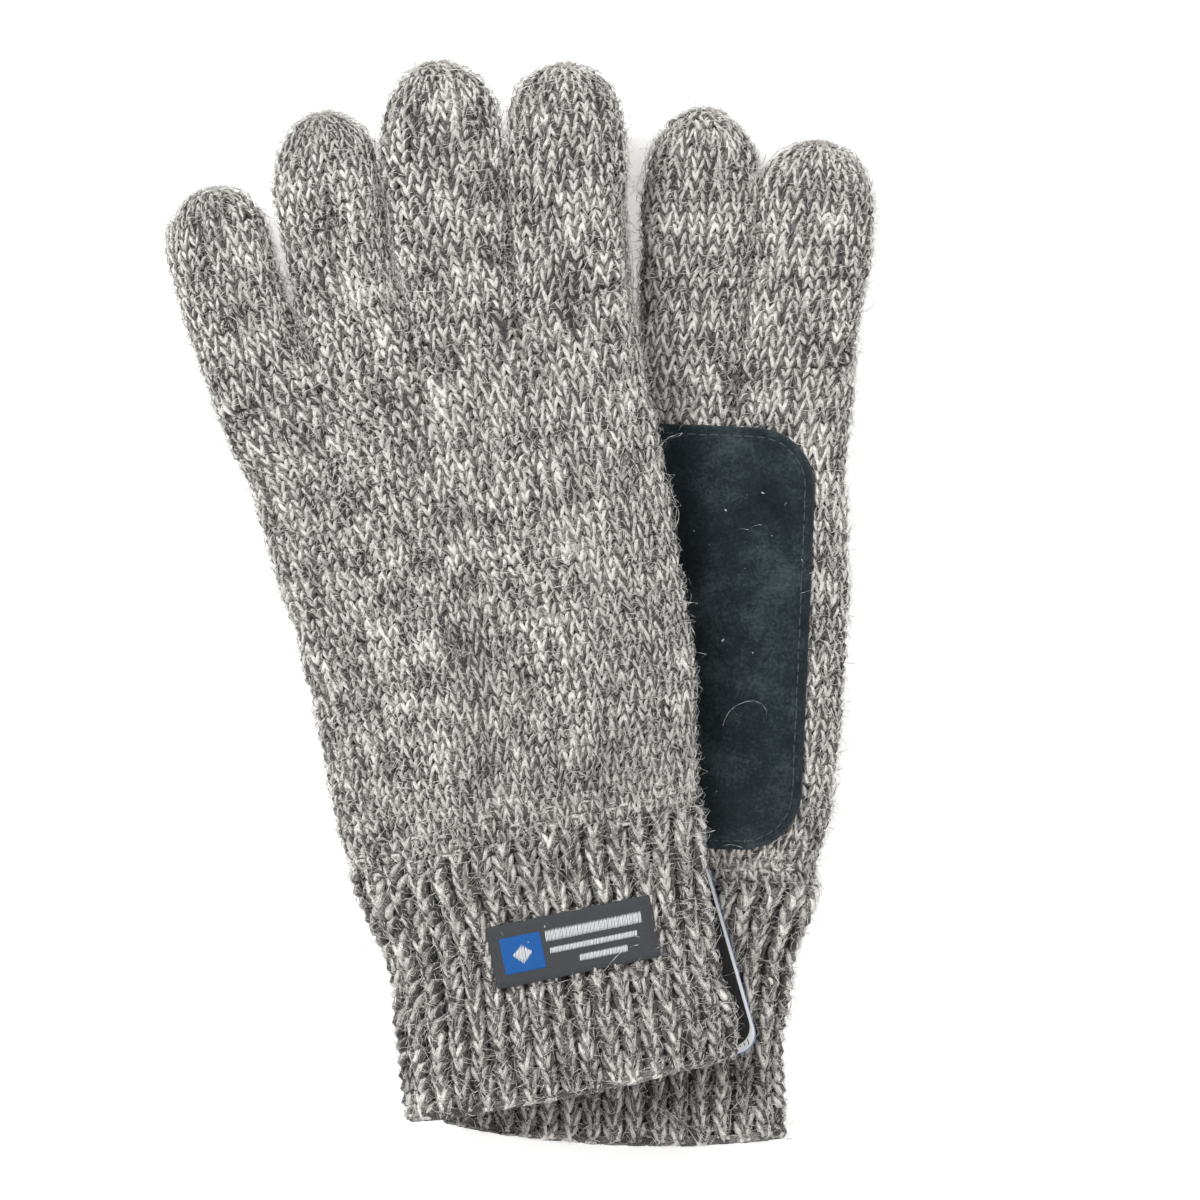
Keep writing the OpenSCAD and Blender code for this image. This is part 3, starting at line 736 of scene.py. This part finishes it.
def plain_knit(yarn, tube, rows, keep=None):
    """V stitches, two legs each, with fewer wales where the tube narrows."""
    for s in rows:
        _, _, way = tube.shell(np.linspace(0, 1, 24, endpoint=False), np.full(24, s))
        count = tube.wales
        while way.mean() / count < 2.3 and count > 5:
            count = count // 2
        phi = (np.arange(count) + 0.5) / count
        if keep is not None:
            phi = phi[keep(phi)]
        for mirror in (-1, 1):
            yarn.lay(tube, LEG, phi, s, mirror, count, out=STITCH_SINK)


def base_mesh(name, tube, s_values, n_round, outer=CLOTH_OUT, inner=CLOTH_IN):
    """The cloth that shows between the stitches. Its near-black colour is partly its own and partly
    painted shade in the gaps.
    """
    return add_mesh(name, *grid_tube(tube, s_values, n_round, outer, inner), CLOTH_PAINTED_SHADE)


def build_hand(glove):
    side = glove.side
    tube = hand_tube(glove)
    rows = rows_on(CUFF_LEN + 1, KNUCKLE_AT + 0.4, COURSE)
    made = []
    for name, keep, seed in (("top", lambda p: p < 0.5, 1), ("under", lambda p: p >= 0.5, 2)):
        yarn = Yarn(seed)
        plain_knit(yarn, tube, rows, keep)
        for k in range(3):
            phi = (np.arange(HAND_WALES) + 0.5) / HAND_WALES
            phi = phi[keep(phi) & (yarn.rng.uniform(0, 1, HAND_WALES) < 0.5)]
            yarn.lay(tube, BUMP, phi, CUFF_LEN + yarn.rng.uniform(-1.5, 7.5, len(phi)), 1,
                     HAND_WALES, out=-0.3, size=0.9)
        made.append(yarn.mesh(f"{side}_hand_stitches_{name}", KNIT))
    base = base_mesh(f"{side}_hand_cloth", tube,
                     np.linspace(CUFF_LEN - 1.5, KNUCKLE_AT + 0.5, 64), 120)
    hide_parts(side + "_hand_knit")
    for piece in made + [base]:
        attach(piece, side + "_hand")
    return tube


def bend_at_knuckle(piece):
    """Bakes the piece's transform into its mesh."""
    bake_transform(piece)


def bend_at_wrist(piece, glove):
    """Bakes the piece's transform into its mesh. Two points near the top of the cuff are worked out
    but not used.
    """
    start, end = (np.array([*glove.to_pair(0, v), 0]) * MM for v in (CUFF_LEN - 1, CUFF_LEN - 17))
    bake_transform(piece)


def build_finger(glove, f):
    side, name = glove.side, FINGERS[f]
    tube = finger_tube(glove, f)
    yarn = Yarn(40 + f)
    plain_knit(yarn, tube, rows_on(0, tube.length - 0.8, COURSE))
    stitches = yarn.mesh(f"{side}_{name}_stitches", KNIT)
    base = base_mesh(f"{side}_{name}_cloth", tube,
                     np.concatenate([np.linspace(-0.5, tube.length - 8, 24),
                                     np.linspace(tube.length - 7, tube.length - 0.25, 9)]), 48)
    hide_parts(f"{side}_{name}_finger")
    for piece in (stitches, base):
        bend_at_knuckle(piece)
    return tube


def build_thumb(glove):
    side = glove.side
    tube = thumb_tube(glove)
    yarn = Yarn(50)
    plain_knit(yarn, tube, rows_on(0.8, tube.length - 0.8, COURSE))
    stitches = yarn.mesh(f"{side}_thumb_stitches", KNIT)
    base = base_mesh(f"{side}_thumb_cloth", tube, np.linspace(0.25, tube.length - 0.25, 40), 48)
    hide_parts(side + "_thumb")
    for piece in (stitches, base):
        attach(piece, side + "_thumb_stall")
    return tube


def rib_wave(phi):
    return RIB_HEIGHT * np.cos(2 * math.pi * RIBS * phi)


def build_cuff(glove):
    side = glove.side
    tube = hand_tube(glove, cuff=True)
    rows = rows_on(1.3, CUFF_LEN + 1, RIB_COURSE)
    crest, valley = np.arange(RIBS) / RIBS, (np.arange(RIBS) + 0.5) / RIBS
    wide = RIBS * 1.38
    for name, inward in (("outer", False), ("inner", True)):
        yarn = Yarn(60 + inward)
        column, gap = (valley, crest) if inward else (crest, valley)
        out = -1.7 if inward else -1.05
        for s in rows[:12] if inward else rows:
            for mirror in (-1, 1):
                yarn.lay(tube, LEG, column, s, mirror, wide, RIB_COURSE, out, inward, 1.08, rib_wave)
            # The purl bumps in the valleys are all dark: painted shade in the valleys between the ribs
            yarn.lay(tube, BUMP, gap, s + RIB_COURSE * 0.5, 1, wide, RIB_COURSE,
                     out + (0.9 if inward else -0.9), inward, 0.66, rib_wave, dark=True)
        # The cast-on edge: two rows of bumps. The inner row and the valley bumps of both rows are all
        # dark, as painted shade on the hem
        if not inward:
            for lane in (crest, valley):
                for edge, out in ((1.25, -0.7), (1.05, -1.9)):
                    yarn.lay(tube, BUMP, lane, edge, 1, wide, RIB_COURSE, out, size=1.1,
                             rib=lambda p: 0.5 * rib_wave(p), dark=out < -1 or lane is valley)
        piece = yarn.mesh(f"{side}_cuff_{name}_rib", RIB)
        bend_at_wrist(piece, glove)
    base = base_mesh(f"{side}_cuff_cloth", tube, np.linspace(0.3, CUFF_LEN + 1.2, 24), RIBS * 8,
                     lambda p: rib_wave(p) - 1.3, lambda p: rib_wave(p) - 1.9)
    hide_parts(side + "_cuff_rib")
    bend_at_wrist(base, glove)
    return tube


def build_lining(side, part, tube, s_values, n_round):
    piece = add_mesh(f"{side}_{part}_fleece",
                     *grid_tube(tube, s_values, n_round, LINING_OUT, LINING_IN), FLEECE)
    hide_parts(f"{side}_{part}_lining")
    return piece


hands, cuffs, fingers, thumbs = {}, {}, {}, {}
for glove in (RIGHT, LEFT):
    side = glove.side
    hands[side] = build_hand(glove)
    cuffs[side] = build_cuff(glove)
    thumbs[side] = build_thumb(glove)
    fingers[side] = [build_finger(glove, f) for f in range(4)]
    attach(build_lining(side, "hand", hands[side], np.linspace(CUFF_LEN, KNUCKLE_AT, 40), 96),
            side + "_hand")
    for f, tube in enumerate(fingers[side]):
        bend_at_knuckle(build_lining(side, FINGERS[f], tube, np.linspace(0, tube.length - 3, 20), 40))
    tube = thumbs[side]
    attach(build_lining(side, "thumb", tube, np.linspace(3, tube.length - 3, 24), 40),
            side + "_thumb_stall")


# ---------------------------------------------------------------- loose fibres
def corner_in(d, r):
    """How far a rounded corner stands in, at a distance from the end."""
    return np.where(d >= r, 0, r - np.sqrt(np.maximum(0, r * r - (r - np.minimum(d, r)) ** 2)))


def edge_distance(x, y, w, h, r):
    """Distance inwards from the edge of a rounded rectangle centred on the origin."""
    qx, qy = np.abs(x) - (w / 2 - r), np.abs(y) - (h / 2 - r)
    return r - (np.hypot(np.maximum(qx, 0), np.maximum(qy, 0)) + np.minimum(np.maximum(qx, qy), 0))


def strand_template(rings, sides):
    """Corners of a strand of some rings that ends in a point, with a closed root."""
    made = Template.__new__(Template)
    loops, totals, uv = [], [], []
    for k in range(rings - 1):
        for i in range(sides):
            j = (i + 1) % sides
            loops += [k * sides + i, k * sides + j, (k + 1) * sides + j, (k + 1) * sides + i]
            totals.append(4)
            uv += [(k, i), (k, i + 1), (k + 1, i + 1), (k + 1, i)]
    for i in range(sides):
        loops += [(rings - 1) * sides + i, (rings - 1) * sides + (i + 1) % sides, rings * sides]
        totals.append(3)
        uv += [(rings - 1, i), (rings - 1, i + 1), (rings, i + 0.5)]
    loops += list(range(sides))[::-1]
    totals.append(sides)
    uv += [(0, i) for i in range(sides)][::-1]
    made.loops, made.totals = np.array(loops), np.array(totals)
    made.uv = np.array(uv, float) / (1, sides)
    made.cell = np.array(uv, float) / (rings, sides)
    made.order = running(totals)
    return made


def strand_points(path, radius, sides):
    """Points of tapered strands along paths of shape (strands, rings + 1, 3)."""
    run = np.gradient(path, axis=1)
    run /= np.maximum(np.linalg.norm(run, axis=-1, keepdims=True), 1e-9)
    side = np.cross(run, np.array([0.31, 0.17, 0.93]))
    side /= np.maximum(np.linalg.norm(side, axis=-1, keepdims=True), 1e-9)
    up = np.cross(side, run)
    turn = np.arange(sides) / sides * 2 * math.pi
    rings = path[:, :-1, None] + radius[:, :-1, None, None] * (
        side[:, :-1, None] * np.cos(turn)[:, None] + up[:, :-1, None] * np.sin(turn)[:, None])
    n = len(path)
    return np.concatenate([rings.reshape(n, -1, 3), path[:, -1:]], 1)


def on_a_sheet(glove, path, phi):
    """True for each fibre that reaches a patch or a label."""
    u, v = glove.to_glove(path[..., 0], path[..., 1])
    palm = (phi % 1 < 0.5) == (glove.palm > 0)
    patch = edge_distance(u - PATCH_MIDDLE[0], v - PATCH_MIDDLE[1],
                          PATCH_W, PATCH_H, PATCH_R) > 0.3
    label = edge_distance(u - LABEL_AT[0], v - LABEL_AT[1], LABEL_W, LABEL_H, LABEL_R) > 0.3
    return np.where(palm, patch, label).any(1)


def add_fibres(name, glove, tube, count, seed, length=(3.0, 0.45), thick=0.07, rings=2, rise=0.55,
               curl=1.3, height=0.55, around=(0, 1), rib=None, spare=0.0):
    """Fibres that leave the yarn, wander over the surface and end free."""
    rng = np.random.default_rng(seed)
    yarn = Yarn(seed)
    phi = rng.uniform(*around, count)
    if rib:
        phi = phi[rib_wave(phi) > RIB_HEIGHT * rng.uniform(-1.6, 0.7, count)]
        count = len(phi)
    s = rng.uniform(max(tube.start, 0.5), tube.length - 0.6, count)
    size = length[0] * np.exp(rng.normal(0, length[1], count))
    t = np.linspace(0, 1, rings + 1)[None, :]
    heading = rng.uniform(0, 2 * math.pi, count)[:, None] + (
        rng.normal(0, curl, count)[:, None] * t + rng.normal(0, curl, count)[:, None] * t * t)
    step = size[:, None] / rings
    a = np.cumsum(np.cos(heading) * step, 1) - np.cos(heading) * step
    b = np.cumsum(np.sin(heading) * step, 1) - np.sin(heading) * step
    top = rise * np.exp(rng.normal(0, 0.6, count))[:, None] * np.minimum(1.6, size[:, None] / 2.5)
    h = height + top * np.sin(t * rng.uniform(1.4, 3.0, count)[:, None])
    _, _, way = tube.shell(phi, s)
    p = phi[:, None] + a / np.maximum(way, 8)[:, None]
    q = np.clip(s[:, None] + b, tube.start - 1 if tube.start else 0.1, tube.length - 0.1)
    place, normal, _ = tube.shell(p, q)
    path = place + normal * (h + tube.lumps(p, q) + (rib(p) if rib else 0))[..., None]
    path[..., 2] = np.maximum(path[..., 2], 0.12)
    keep = ~on_a_sheet(glove, path, p) | (rng.uniform(0, 1, count) < spare)
    path = path[keep]
    radius = thick * rng.uniform(0.7, 1.35, len(path))[:, None] * (1.05 - 0.75 * t)
    yarn.strands(path, radius, 3)
    return yarn.mesh(name, FUZZ)


def rib_fibre_wave(phi):
    return 0.75 * rib_wave(phi) - 0.35


for glove in (RIGHT, LEFT):
    side = glove.side
    seed = 100 if side == "right" else 200
    plan = [(hands[side], "hand_top", 10500, (0, 0.5), None),
            (hands[side], "hand_under", 8500, (0.5, 1), None),
            (cuffs[side], "cuff", 14500, (0, 1), rib_fibre_wave),
            (thumbs[side], "thumb", 1900, (0, 1), None)]
    plan += [(fingers[side][f], FINGERS[f], int(44 * FINGER_LEN[f]), (0, 1), None) for f in range(4)]
    for k, (tube, label, count, around, rib) in enumerate(plan):
        made = [add_fibres(f"{side}_{label}_fibres", glove, tube, count, seed + k,
                           around=around, rib=rib, spare=0.02),
                add_fibres(f"{side}_{label}_stray_hairs", glove, tube, count // 45, seed + 20 + k,
                           length=(9, 0.35), thick=0.075, rings=9, rise=1.0, curl=1.8,
                           height=0.65, around=around, rib=rib, spare=0.06)]
        for piece in made:
            if k > 3:
                bend_at_knuckle(piece)
            elif label == "cuff":
                bend_at_wrist(piece, glove)
            else:
                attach(piece, f"{side}_thumb_stall" if label == "thumb" else f"{side}_hand")


# ---------------------------------------------------------------- suede patch, labels
def sheet_on_skin(name, glove, face, middle, w, h, r, grid, top, under, material):
    """A thin sheet lying on a glove, its two sides given as heights over the skin."""
    cols, rows = grid
    # Points lie a little closer together near the edges
    y = (-h / 2 * np.cos(np.linspace(0, math.pi, rows + 1)) * 0.25
         + np.linspace(-h / 2, h / 2, rows + 1) * 0.75)
    x = np.linspace(-1, 1, cols + 1) * 0.75 - 0.25 * np.cos(np.linspace(0, math.pi, cols + 1))
    X, Y = np.meshgrid(x, y)
    X = X * (w / 2 - corner_in(h / 2 - np.abs(Y), r))
    d = np.maximum(edge_distance(X, Y, w, h, r), 0)
    U, V = middle[0] + X, middle[1] + Y
    layers = [glove.skin(U, V, face, top(X, Y, d)), glove.skin(U, V, face, under(X, Y, d))]
    m, n = cols + 1, rows + 1
    verts = np.concatenate([layer.reshape(-1, 3) for layer in layers])
    i, j = np.meshgrid(np.arange(m - 1), np.arange(n - 1))
    a = (j * m + i).ravel()
    up = np.stack([a, a + 1, a + m + 1, a + m], 1)
    down = up[:, ::-1] + m * n
    ring = np.concatenate([np.arange(m), np.arange(2, n) * m - 1,
                           np.arange(n * m - 1, (n - 1) * m - 1, -1), np.arange(n - 2, 0, -1) * m])
    nxt = np.roll(ring, -1)
    walls = np.stack([ring, ring + m * n, nxt + m * n, nxt], 1)
    quads = np.concatenate([up, down, walls])
    if face < 0:
        quads = quads[:, ::-1]
    flat = np.stack([(X / w + 0.5).ravel(), (Y / h + 0.5).ravel()], 1)
    uv = np.concatenate([flat, flat])[quads.ravel()] * (w, h)
    return add_mesh(name, verts, quads.ravel(), np.full(len(quads), 4), material, {"sheet": uv})


def loop_points(w, h, r, pitch):
    """Evenly spaced points and headings round a rounded rectangle."""
    fine = []
    for k, (sx, sy) in enumerate(((1, 1), (-1, 1), (-1, -1), (1, -1))):
        t = math.pi / 2 * k + np.linspace(0, math.pi / 2, 40)
        fine.append(np.stack([sx * (w / 2 - r) + r * np.cos(t), sy * (h / 2 - r) + r * np.sin(t)], 1))
    fine = np.concatenate(fine + [fine[0][:1]])
    way = running(np.linalg.norm(np.diff(fine, axis=0), axis=1))
    n = int(way[-1] / pitch)

    def at(q):
        along = q * way[-1] / n % way[-1]
        return np.stack([np.interp(along, way, fine[:, c]) for c in (0, 1)], -1)

    return at, n


def sew(name, glove, face, middle, at, n, high, length, radius, sink, body, seed):
    """A row of separate stitches: at(q) is the seam's path for q from 0 to n."""
    rng = np.random.default_rng(seed)
    t = np.linspace(0, 1, 6)
    q = np.arange(n)[:, None] + 0.5 + (t[None, :] - 0.5) * length * rng.normal(1, 0.04, n)[:, None]
    spot = at(q) + rng.normal(0, 0.06, (n, 1, 2))
    h = high(spot[..., 0], spot[..., 1]) + sink * (np.sin(math.pi * t)[None, :] * 1.5 - 1)
    path = glove.skin(middle[0] + spot[..., 0], middle[1] + spot[..., 1], face, h)
    thick = radius * np.array([0.7, 1, 1.05, 1.05, 1, 0.7])[None, :] * np.ones((n, 1))
    yarn = Yarn(seed)
    path = np.concatenate([path, path[:, -1:] + (path[:, -1:] - path[:, -2:-1]) * 0.3], 1)
    thick = np.concatenate([thick, thick[:, -1:] * 0.5], 1)
    yarn.strands(path, thick, 6)
    piece = yarn.mesh(name, THREAD)
    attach(piece, body)
    return piece


def build_patch(glove):
    """The palm patch with its edge groove and soft folds, and the sewing round it."""
    side, face = glove.side, glove.palm
    size = (PATCH_W, PATCH_H, PATCH_R)
    rng = np.random.default_rng(5)
    waves = [(rng.uniform(0.05, 0.22), rng.uniform(0.04, 0.16), rng.uniform(0, 6.3)) for _ in range(6)]

    def top(x, y, d):
        body = 0.75 + (PATCH_T - 0.15) * np.sqrt(1 - (1 - np.clip(d / 1.1, 0, 1)) ** 2)
        groove = 0.42 * np.exp(-((d - 2.4) / 0.55) ** 2)
        puff = 0.22 * np.exp(-((d - 4.6) / 1.6) ** 2)
        fold = (0.55 * np.exp(-((y - 13 + 0.02 * x) / 4.5) ** 2)
                - 0.75 * np.exp(-((y - 17.5 + 0.03 * x) / 2.6) ** 2))
        slow = sum(np.sin(p * x + q * y + r) for p, q, r in waves) * 0.06
        return body - groove + (puff + fold + slow) * ease(d / 4)

    def under(x, y, d):
        return 0.25 + 0.35 * ease(1 - d / 0.8)

    piece = sheet_on_skin(f"{side}_suede_patch", glove, face, PATCH_MIDDLE, *size, (92, 136),
                          top, under, SUEDE)
    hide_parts(side + "_palm_patch")
    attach(piece, side + "_hand")
    at, n = loop_points(PATCH_W - 2 * SEAM_INSET, PATCH_H - 2 * SEAM_INSET, PATCH_R - SEAM_INSET,
                        SEAM_PITCH)
    seam = lambda x, y: top(x, y, edge_distance(x, y, *size)) + 0.08
    stitches = sew(f"{side}_patch_seam", glove, face, PATCH_MIDDLE, at, n, seam, 0.82, 0.2, 0.2,
                   side + "_hand", seed=8)
    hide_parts(side + "_patch_stitching")


def label_marks(mirror):
    """Middles and lengths of the short floats that draw a diamond and three plain bars."""
    block_x, block_y = BLOCK_AT
    half, floats, span = 2.6, [], []
    for x in np.arange(-half, half + 0.01, 0.34):
        if half - abs(x) > 0.3:
            floats.append((block_x * mirror + x, block_y))
            span.append((half - abs(x)) * 2)
    for x0, x1, y, tall in ((-6.4, 18.0, 3.0, 3.0), (-6.0, 16.0, -0.8, 1.6), (1.0, 13.0, -4.0, 1.8)):
        for x in np.arange(x0, x1, 0.36):
            floats.append((x * mirror, y))
            span.append(tall)
    return np.array(floats), np.array(span)


def build_label(glove):
    """The woven label with a blue block and plain marks, and its two sewn ends."""
    side, face, body = glove.side, -glove.palm, glove.side + "_cuff"
    middle, w, h = LABEL_AT, LABEL_W, LABEL_H
    wave = lambda x, y: 0.35 + 0.10 * np.cos(x * 1.08) + 0.12 * np.sin(x * 0.21 + y * 0.3)
    top = lambda x, y, d: 0.9 + wave(x, y) + 0.35 * ease(d / 1.2)
    under = lambda x, y, d: 0.5 + wave(x, y) + 0.35 * ease(d / 1.2)
    label = sheet_on_skin(f"{side}_woven_label", glove, face, middle, w, h, LABEL_R, (90, 40),
                          top, under, SATIN)
    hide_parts(side + "_label")
    block_x, block_y = BLOCK_AT[0] * face, BLOCK_AT[1]
    raised = lambda x, y, d: 1.29 + wave(x + block_x, y) + 0.10 * ease(d / 0.4)
    sunk = lambda x, y, d: 1.15 + wave(x + block_x, y)
    extras = [sheet_on_skin(f"{side}_label_block", glove, face,
                            (middle[0] + block_x, middle[1] + block_y), BLOCK_W, BLOCK_H, 0.3,
                            (36, 30), raised, sunk, BLUE)]
    floats, span = label_marks(face)
    rng = np.random.default_rng(3)
    t = np.linspace(-0.5, 0.5, 5)
    x = floats[:, :1] + t[None, :] * 0.22 + rng.normal(0, 0.02, (len(floats), 1))
    y = floats[:, 1:] + t[None, :] * (span * rng.normal(1, 0.03, len(span)))[:, None]
    on_block = np.abs(floats[:, :1] * face - BLOCK_AT[0]) < BLOCK_W / 2
    stand = np.array([-0.05, 0.09, 0.12, 0.09, -0.05])[None, :] + on_block * 0.12
    path = glove.skin(middle[0] + x, middle[1] + y, face, 1.28 + wave(x, y) + stand)
    yarn = Yarn(4)
    yarn.strands(path, np.full(path.shape[:2], 0.15), 5)
    extras.append(yarn.mesh(f"{side}_label_marks", WHITE))
    rows = 12
    ends = lambda q: np.stack([np.where(q < rows, -1, 1) * (w / 2 - 1.4),
                               -h / 2 + 1.1 + (q % rows) * (h - 2.2) / rows], -1)
    seam = sew(f"{side}_label_seam", glove, face, middle, ends, 2 * rows,
               lambda x, y: 1.28 + wave(x, y), 0.8, 0.12, 0.08, body, seed=9)
    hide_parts(side + "_label_stitching")
    for piece in extras + [label]:
        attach(piece, body)


for glove in (RIGHT, LEFT):
    build_patch(glove)
    build_label(glove)


# ---------------------------------------------------------------- tags and pin
def build_card(name, side_at, low, w, length, t, z, faces, edge, node_name):
    """A card with rounded corners, a punched hole and a bevelled cut edge."""
    outline = []
    for k, (sx, sy) in enumerate(((1, 1), (-1, 1), (-1, 0), (1, 0))):
        turn = np.linspace(0, math.pi / 2, 9) + math.pi / 2 * k
        cx, cy = sx * (w / 2 - CARD_R), (length - CARD_R) if sy else CARD_R
        outline += [(cx + CARD_R * math.cos(a), cy + CARD_R * math.sin(a)) for a in turn]
    outline = np.array(outline)
    m = len(outline)
    pin = TAG_PIN - (side_at, low)
    c, s = math.cos(TAG_TURN), math.sin(TAG_TURN)
    turn = np.linspace(0, 2 * math.pi, m, endpoint=False) + 0.78
    hole = pin + HOLE_R * np.stack([np.cos(turn), np.sin(turn)], 1)
    between = (outline + hole) / 2
    rings, local = [], []
    # Each ring: its shape, how far it stands in, and its height
    for shape, inset, up in ((hole, 0, 0.04), (hole, 0, t - 0.04), (hole, -0.06, t),
                             (between, 0, t), (outline, 0.32, t), (outline, 0.0, t - 0.10),
                             (outline, 0.0, 0.10), (outline, 0.10, 0), (between, 0, 0),
                             (hole, -0.06, 0)):
        centre = pin if shape is hole else np.array([0, length / 2])
        far = np.maximum(np.linalg.norm(shape - centre, axis=1), 1)[:, None]
        p = shape + (centre - shape) * inset / far
        local.append(p + (w / 2, 0))
        p = (p - pin) @ np.array([[c, s], [-s, c]]) + TAG_PIN
        x, y = LEFT.to_pair(p[:, 0], p[:, 1])
        rings.append(np.stack([x, y, np.full(len(x), z + up)], 1))
    n = len(rings)
    quads = np.concatenate([ring_quads(r * m, (r + 1) % n * m, m)[:, [0, 3, 2, 1]]
                            for r in range(n)])
    piece = add_mesh(name, np.concatenate(rings), quads.ravel(), np.full(len(quads), 4), faces,
                     {"sheet": np.concatenate(local)[quads.ravel()]}, smooth=False)
    piece.data.materials.append(edge)
    for r in (0, 4, 5, 6):
        for k in range(r * m, (r + 1) * m):
            piece.data.polygons[k].material_index = 1
    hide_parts(node_name)
    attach(piece, "tags")


BLACK_CARD = noisy_material("black_card", (0.008, 0.008, 0.009), (0.018, 0.018, 0.020), 1400,
                            rough=0.45, bump=0.15, distance=0.00005)
CUT_EDGE = noisy_material("cut_board_edge", (0.62, 0.61, 0.59), (0.85, 0.84, 0.82), 2600, bump=0.3)
BLUE_EDGE = noisy_material("blue_board_edge", (0.10, 0.20, 0.40), (0.30, 0.42, 0.62), 2200, bump=0.3)
NYLON = noisy_material("clear_nylon", (0.55, 0.57, 0.60), (0.72, 0.74, 0.78), 800, rough=0.3,
                       bump=0.1)
build_card("swing_tag_card", 20.9, 0.7, 43.4, 52, 0.5, TAG_Z, BLACK_CARD, CUT_EDGE, "swing_tag")
build_card("price_card_board", 25.3, -1.3, 36, 50.6, 0.4, PRICE_Z, printed_card(), BLUE_EDGE,
           "price_card")


def build_pin():
    """A moulded nylon fastener: a flat head below the cards and a thin stem into the rib."""
    u, v = map(np.array, TAG_PIN)
    sides, foot_z = 28, PRICE_Z - 0.7
    tall = float(LEFT.ground(u, v)) + 1.1 - foot_z
    turn = np.linspace(0, 2 * math.pi, sides, endpoint=False)
    profile = [(0.3, -0.02), (2.1, 0), (2.4, 0.1), (2.4, 0.28), (2.1, 0.4), (1.0, 0.44),
               (0.7, 0.75), (0.6, 1.2), (0.6, tall - 0.9), (0.75, tall - 0.5), (0.62, tall - 0.1),
               (0.2, tall)]
    x, y = LEFT.to_pair(u, v)
    verts = np.concatenate([np.stack([x + r * np.cos(turn), y + r * np.sin(turn),
                                      np.full(sides, foot_z + up)], 1) for r, up in profile])
    last = (len(profile) - 1) * sides
    quads = np.concatenate([ring_quads(a, a + sides, sides) for a in range(0, last, sides)])
    i = np.arange(sides)
    loops = np.concatenate([quads.ravel(), i[::-1], last + i])
    totals = np.concatenate([np.full(len(quads), 4), [sides, sides]])
    piece = add_mesh("nylon_pin", verts, loops, totals, NYLON)
    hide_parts("tag_pin")
    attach(piece, "left_cuff")


build_pin()


# ---------------------------------------------------------------- stage and light
def add_stage():
    """A pale table, even white surroundings, a soft key light and a weak fill."""
    half = 3.0
    verts = np.array([(-half, -half, 0), (half, -half, 0), (half, half, 0), (-half, half, 0)]) / MM
    table = Material("pale_table", 0.8)
    table.shader.inputs["Base Color"].default_value = (0.93, 0.93, 0.925, 1)
    table.shader.inputs["Emission Color"].default_value = (1, 0.995, 0.985, 1)
    table.shader.inputs["Emission Strength"].default_value = 0.46
    add_mesh("floor", verts, np.arange(4), np.array([4]), table.mat)
    world = bpy.data.worlds.new("studio")
    world.use_nodes = True
    background = world.node_tree.nodes["Background"]
    background.inputs[0].default_value = (1, 1, 1, 1)
    background.inputs[1].default_value = 0.48
    bpy.context.scene.world = world
    bpy.context.scene.view_settings.view_transform = "Standard"
    for name, spot, size, power in (("key", (-0.8, 0.9, 1.6), 0.9, 34),
                                    ("fill", (1.0, -0.5, 1.3), 1.2, 9)):
        data = bpy.data.lights.new(name, "AREA")
        data.energy, data.size = power, size
        lamp = bpy.data.objects.new(name, data)
        lamp.location = spot
        lamp.rotation_euler = (-Vector(spot)).to_track_quat("-Z", "Y").to_euler()
        bpy.context.scene.collection.objects.link(lamp)


add_stage()
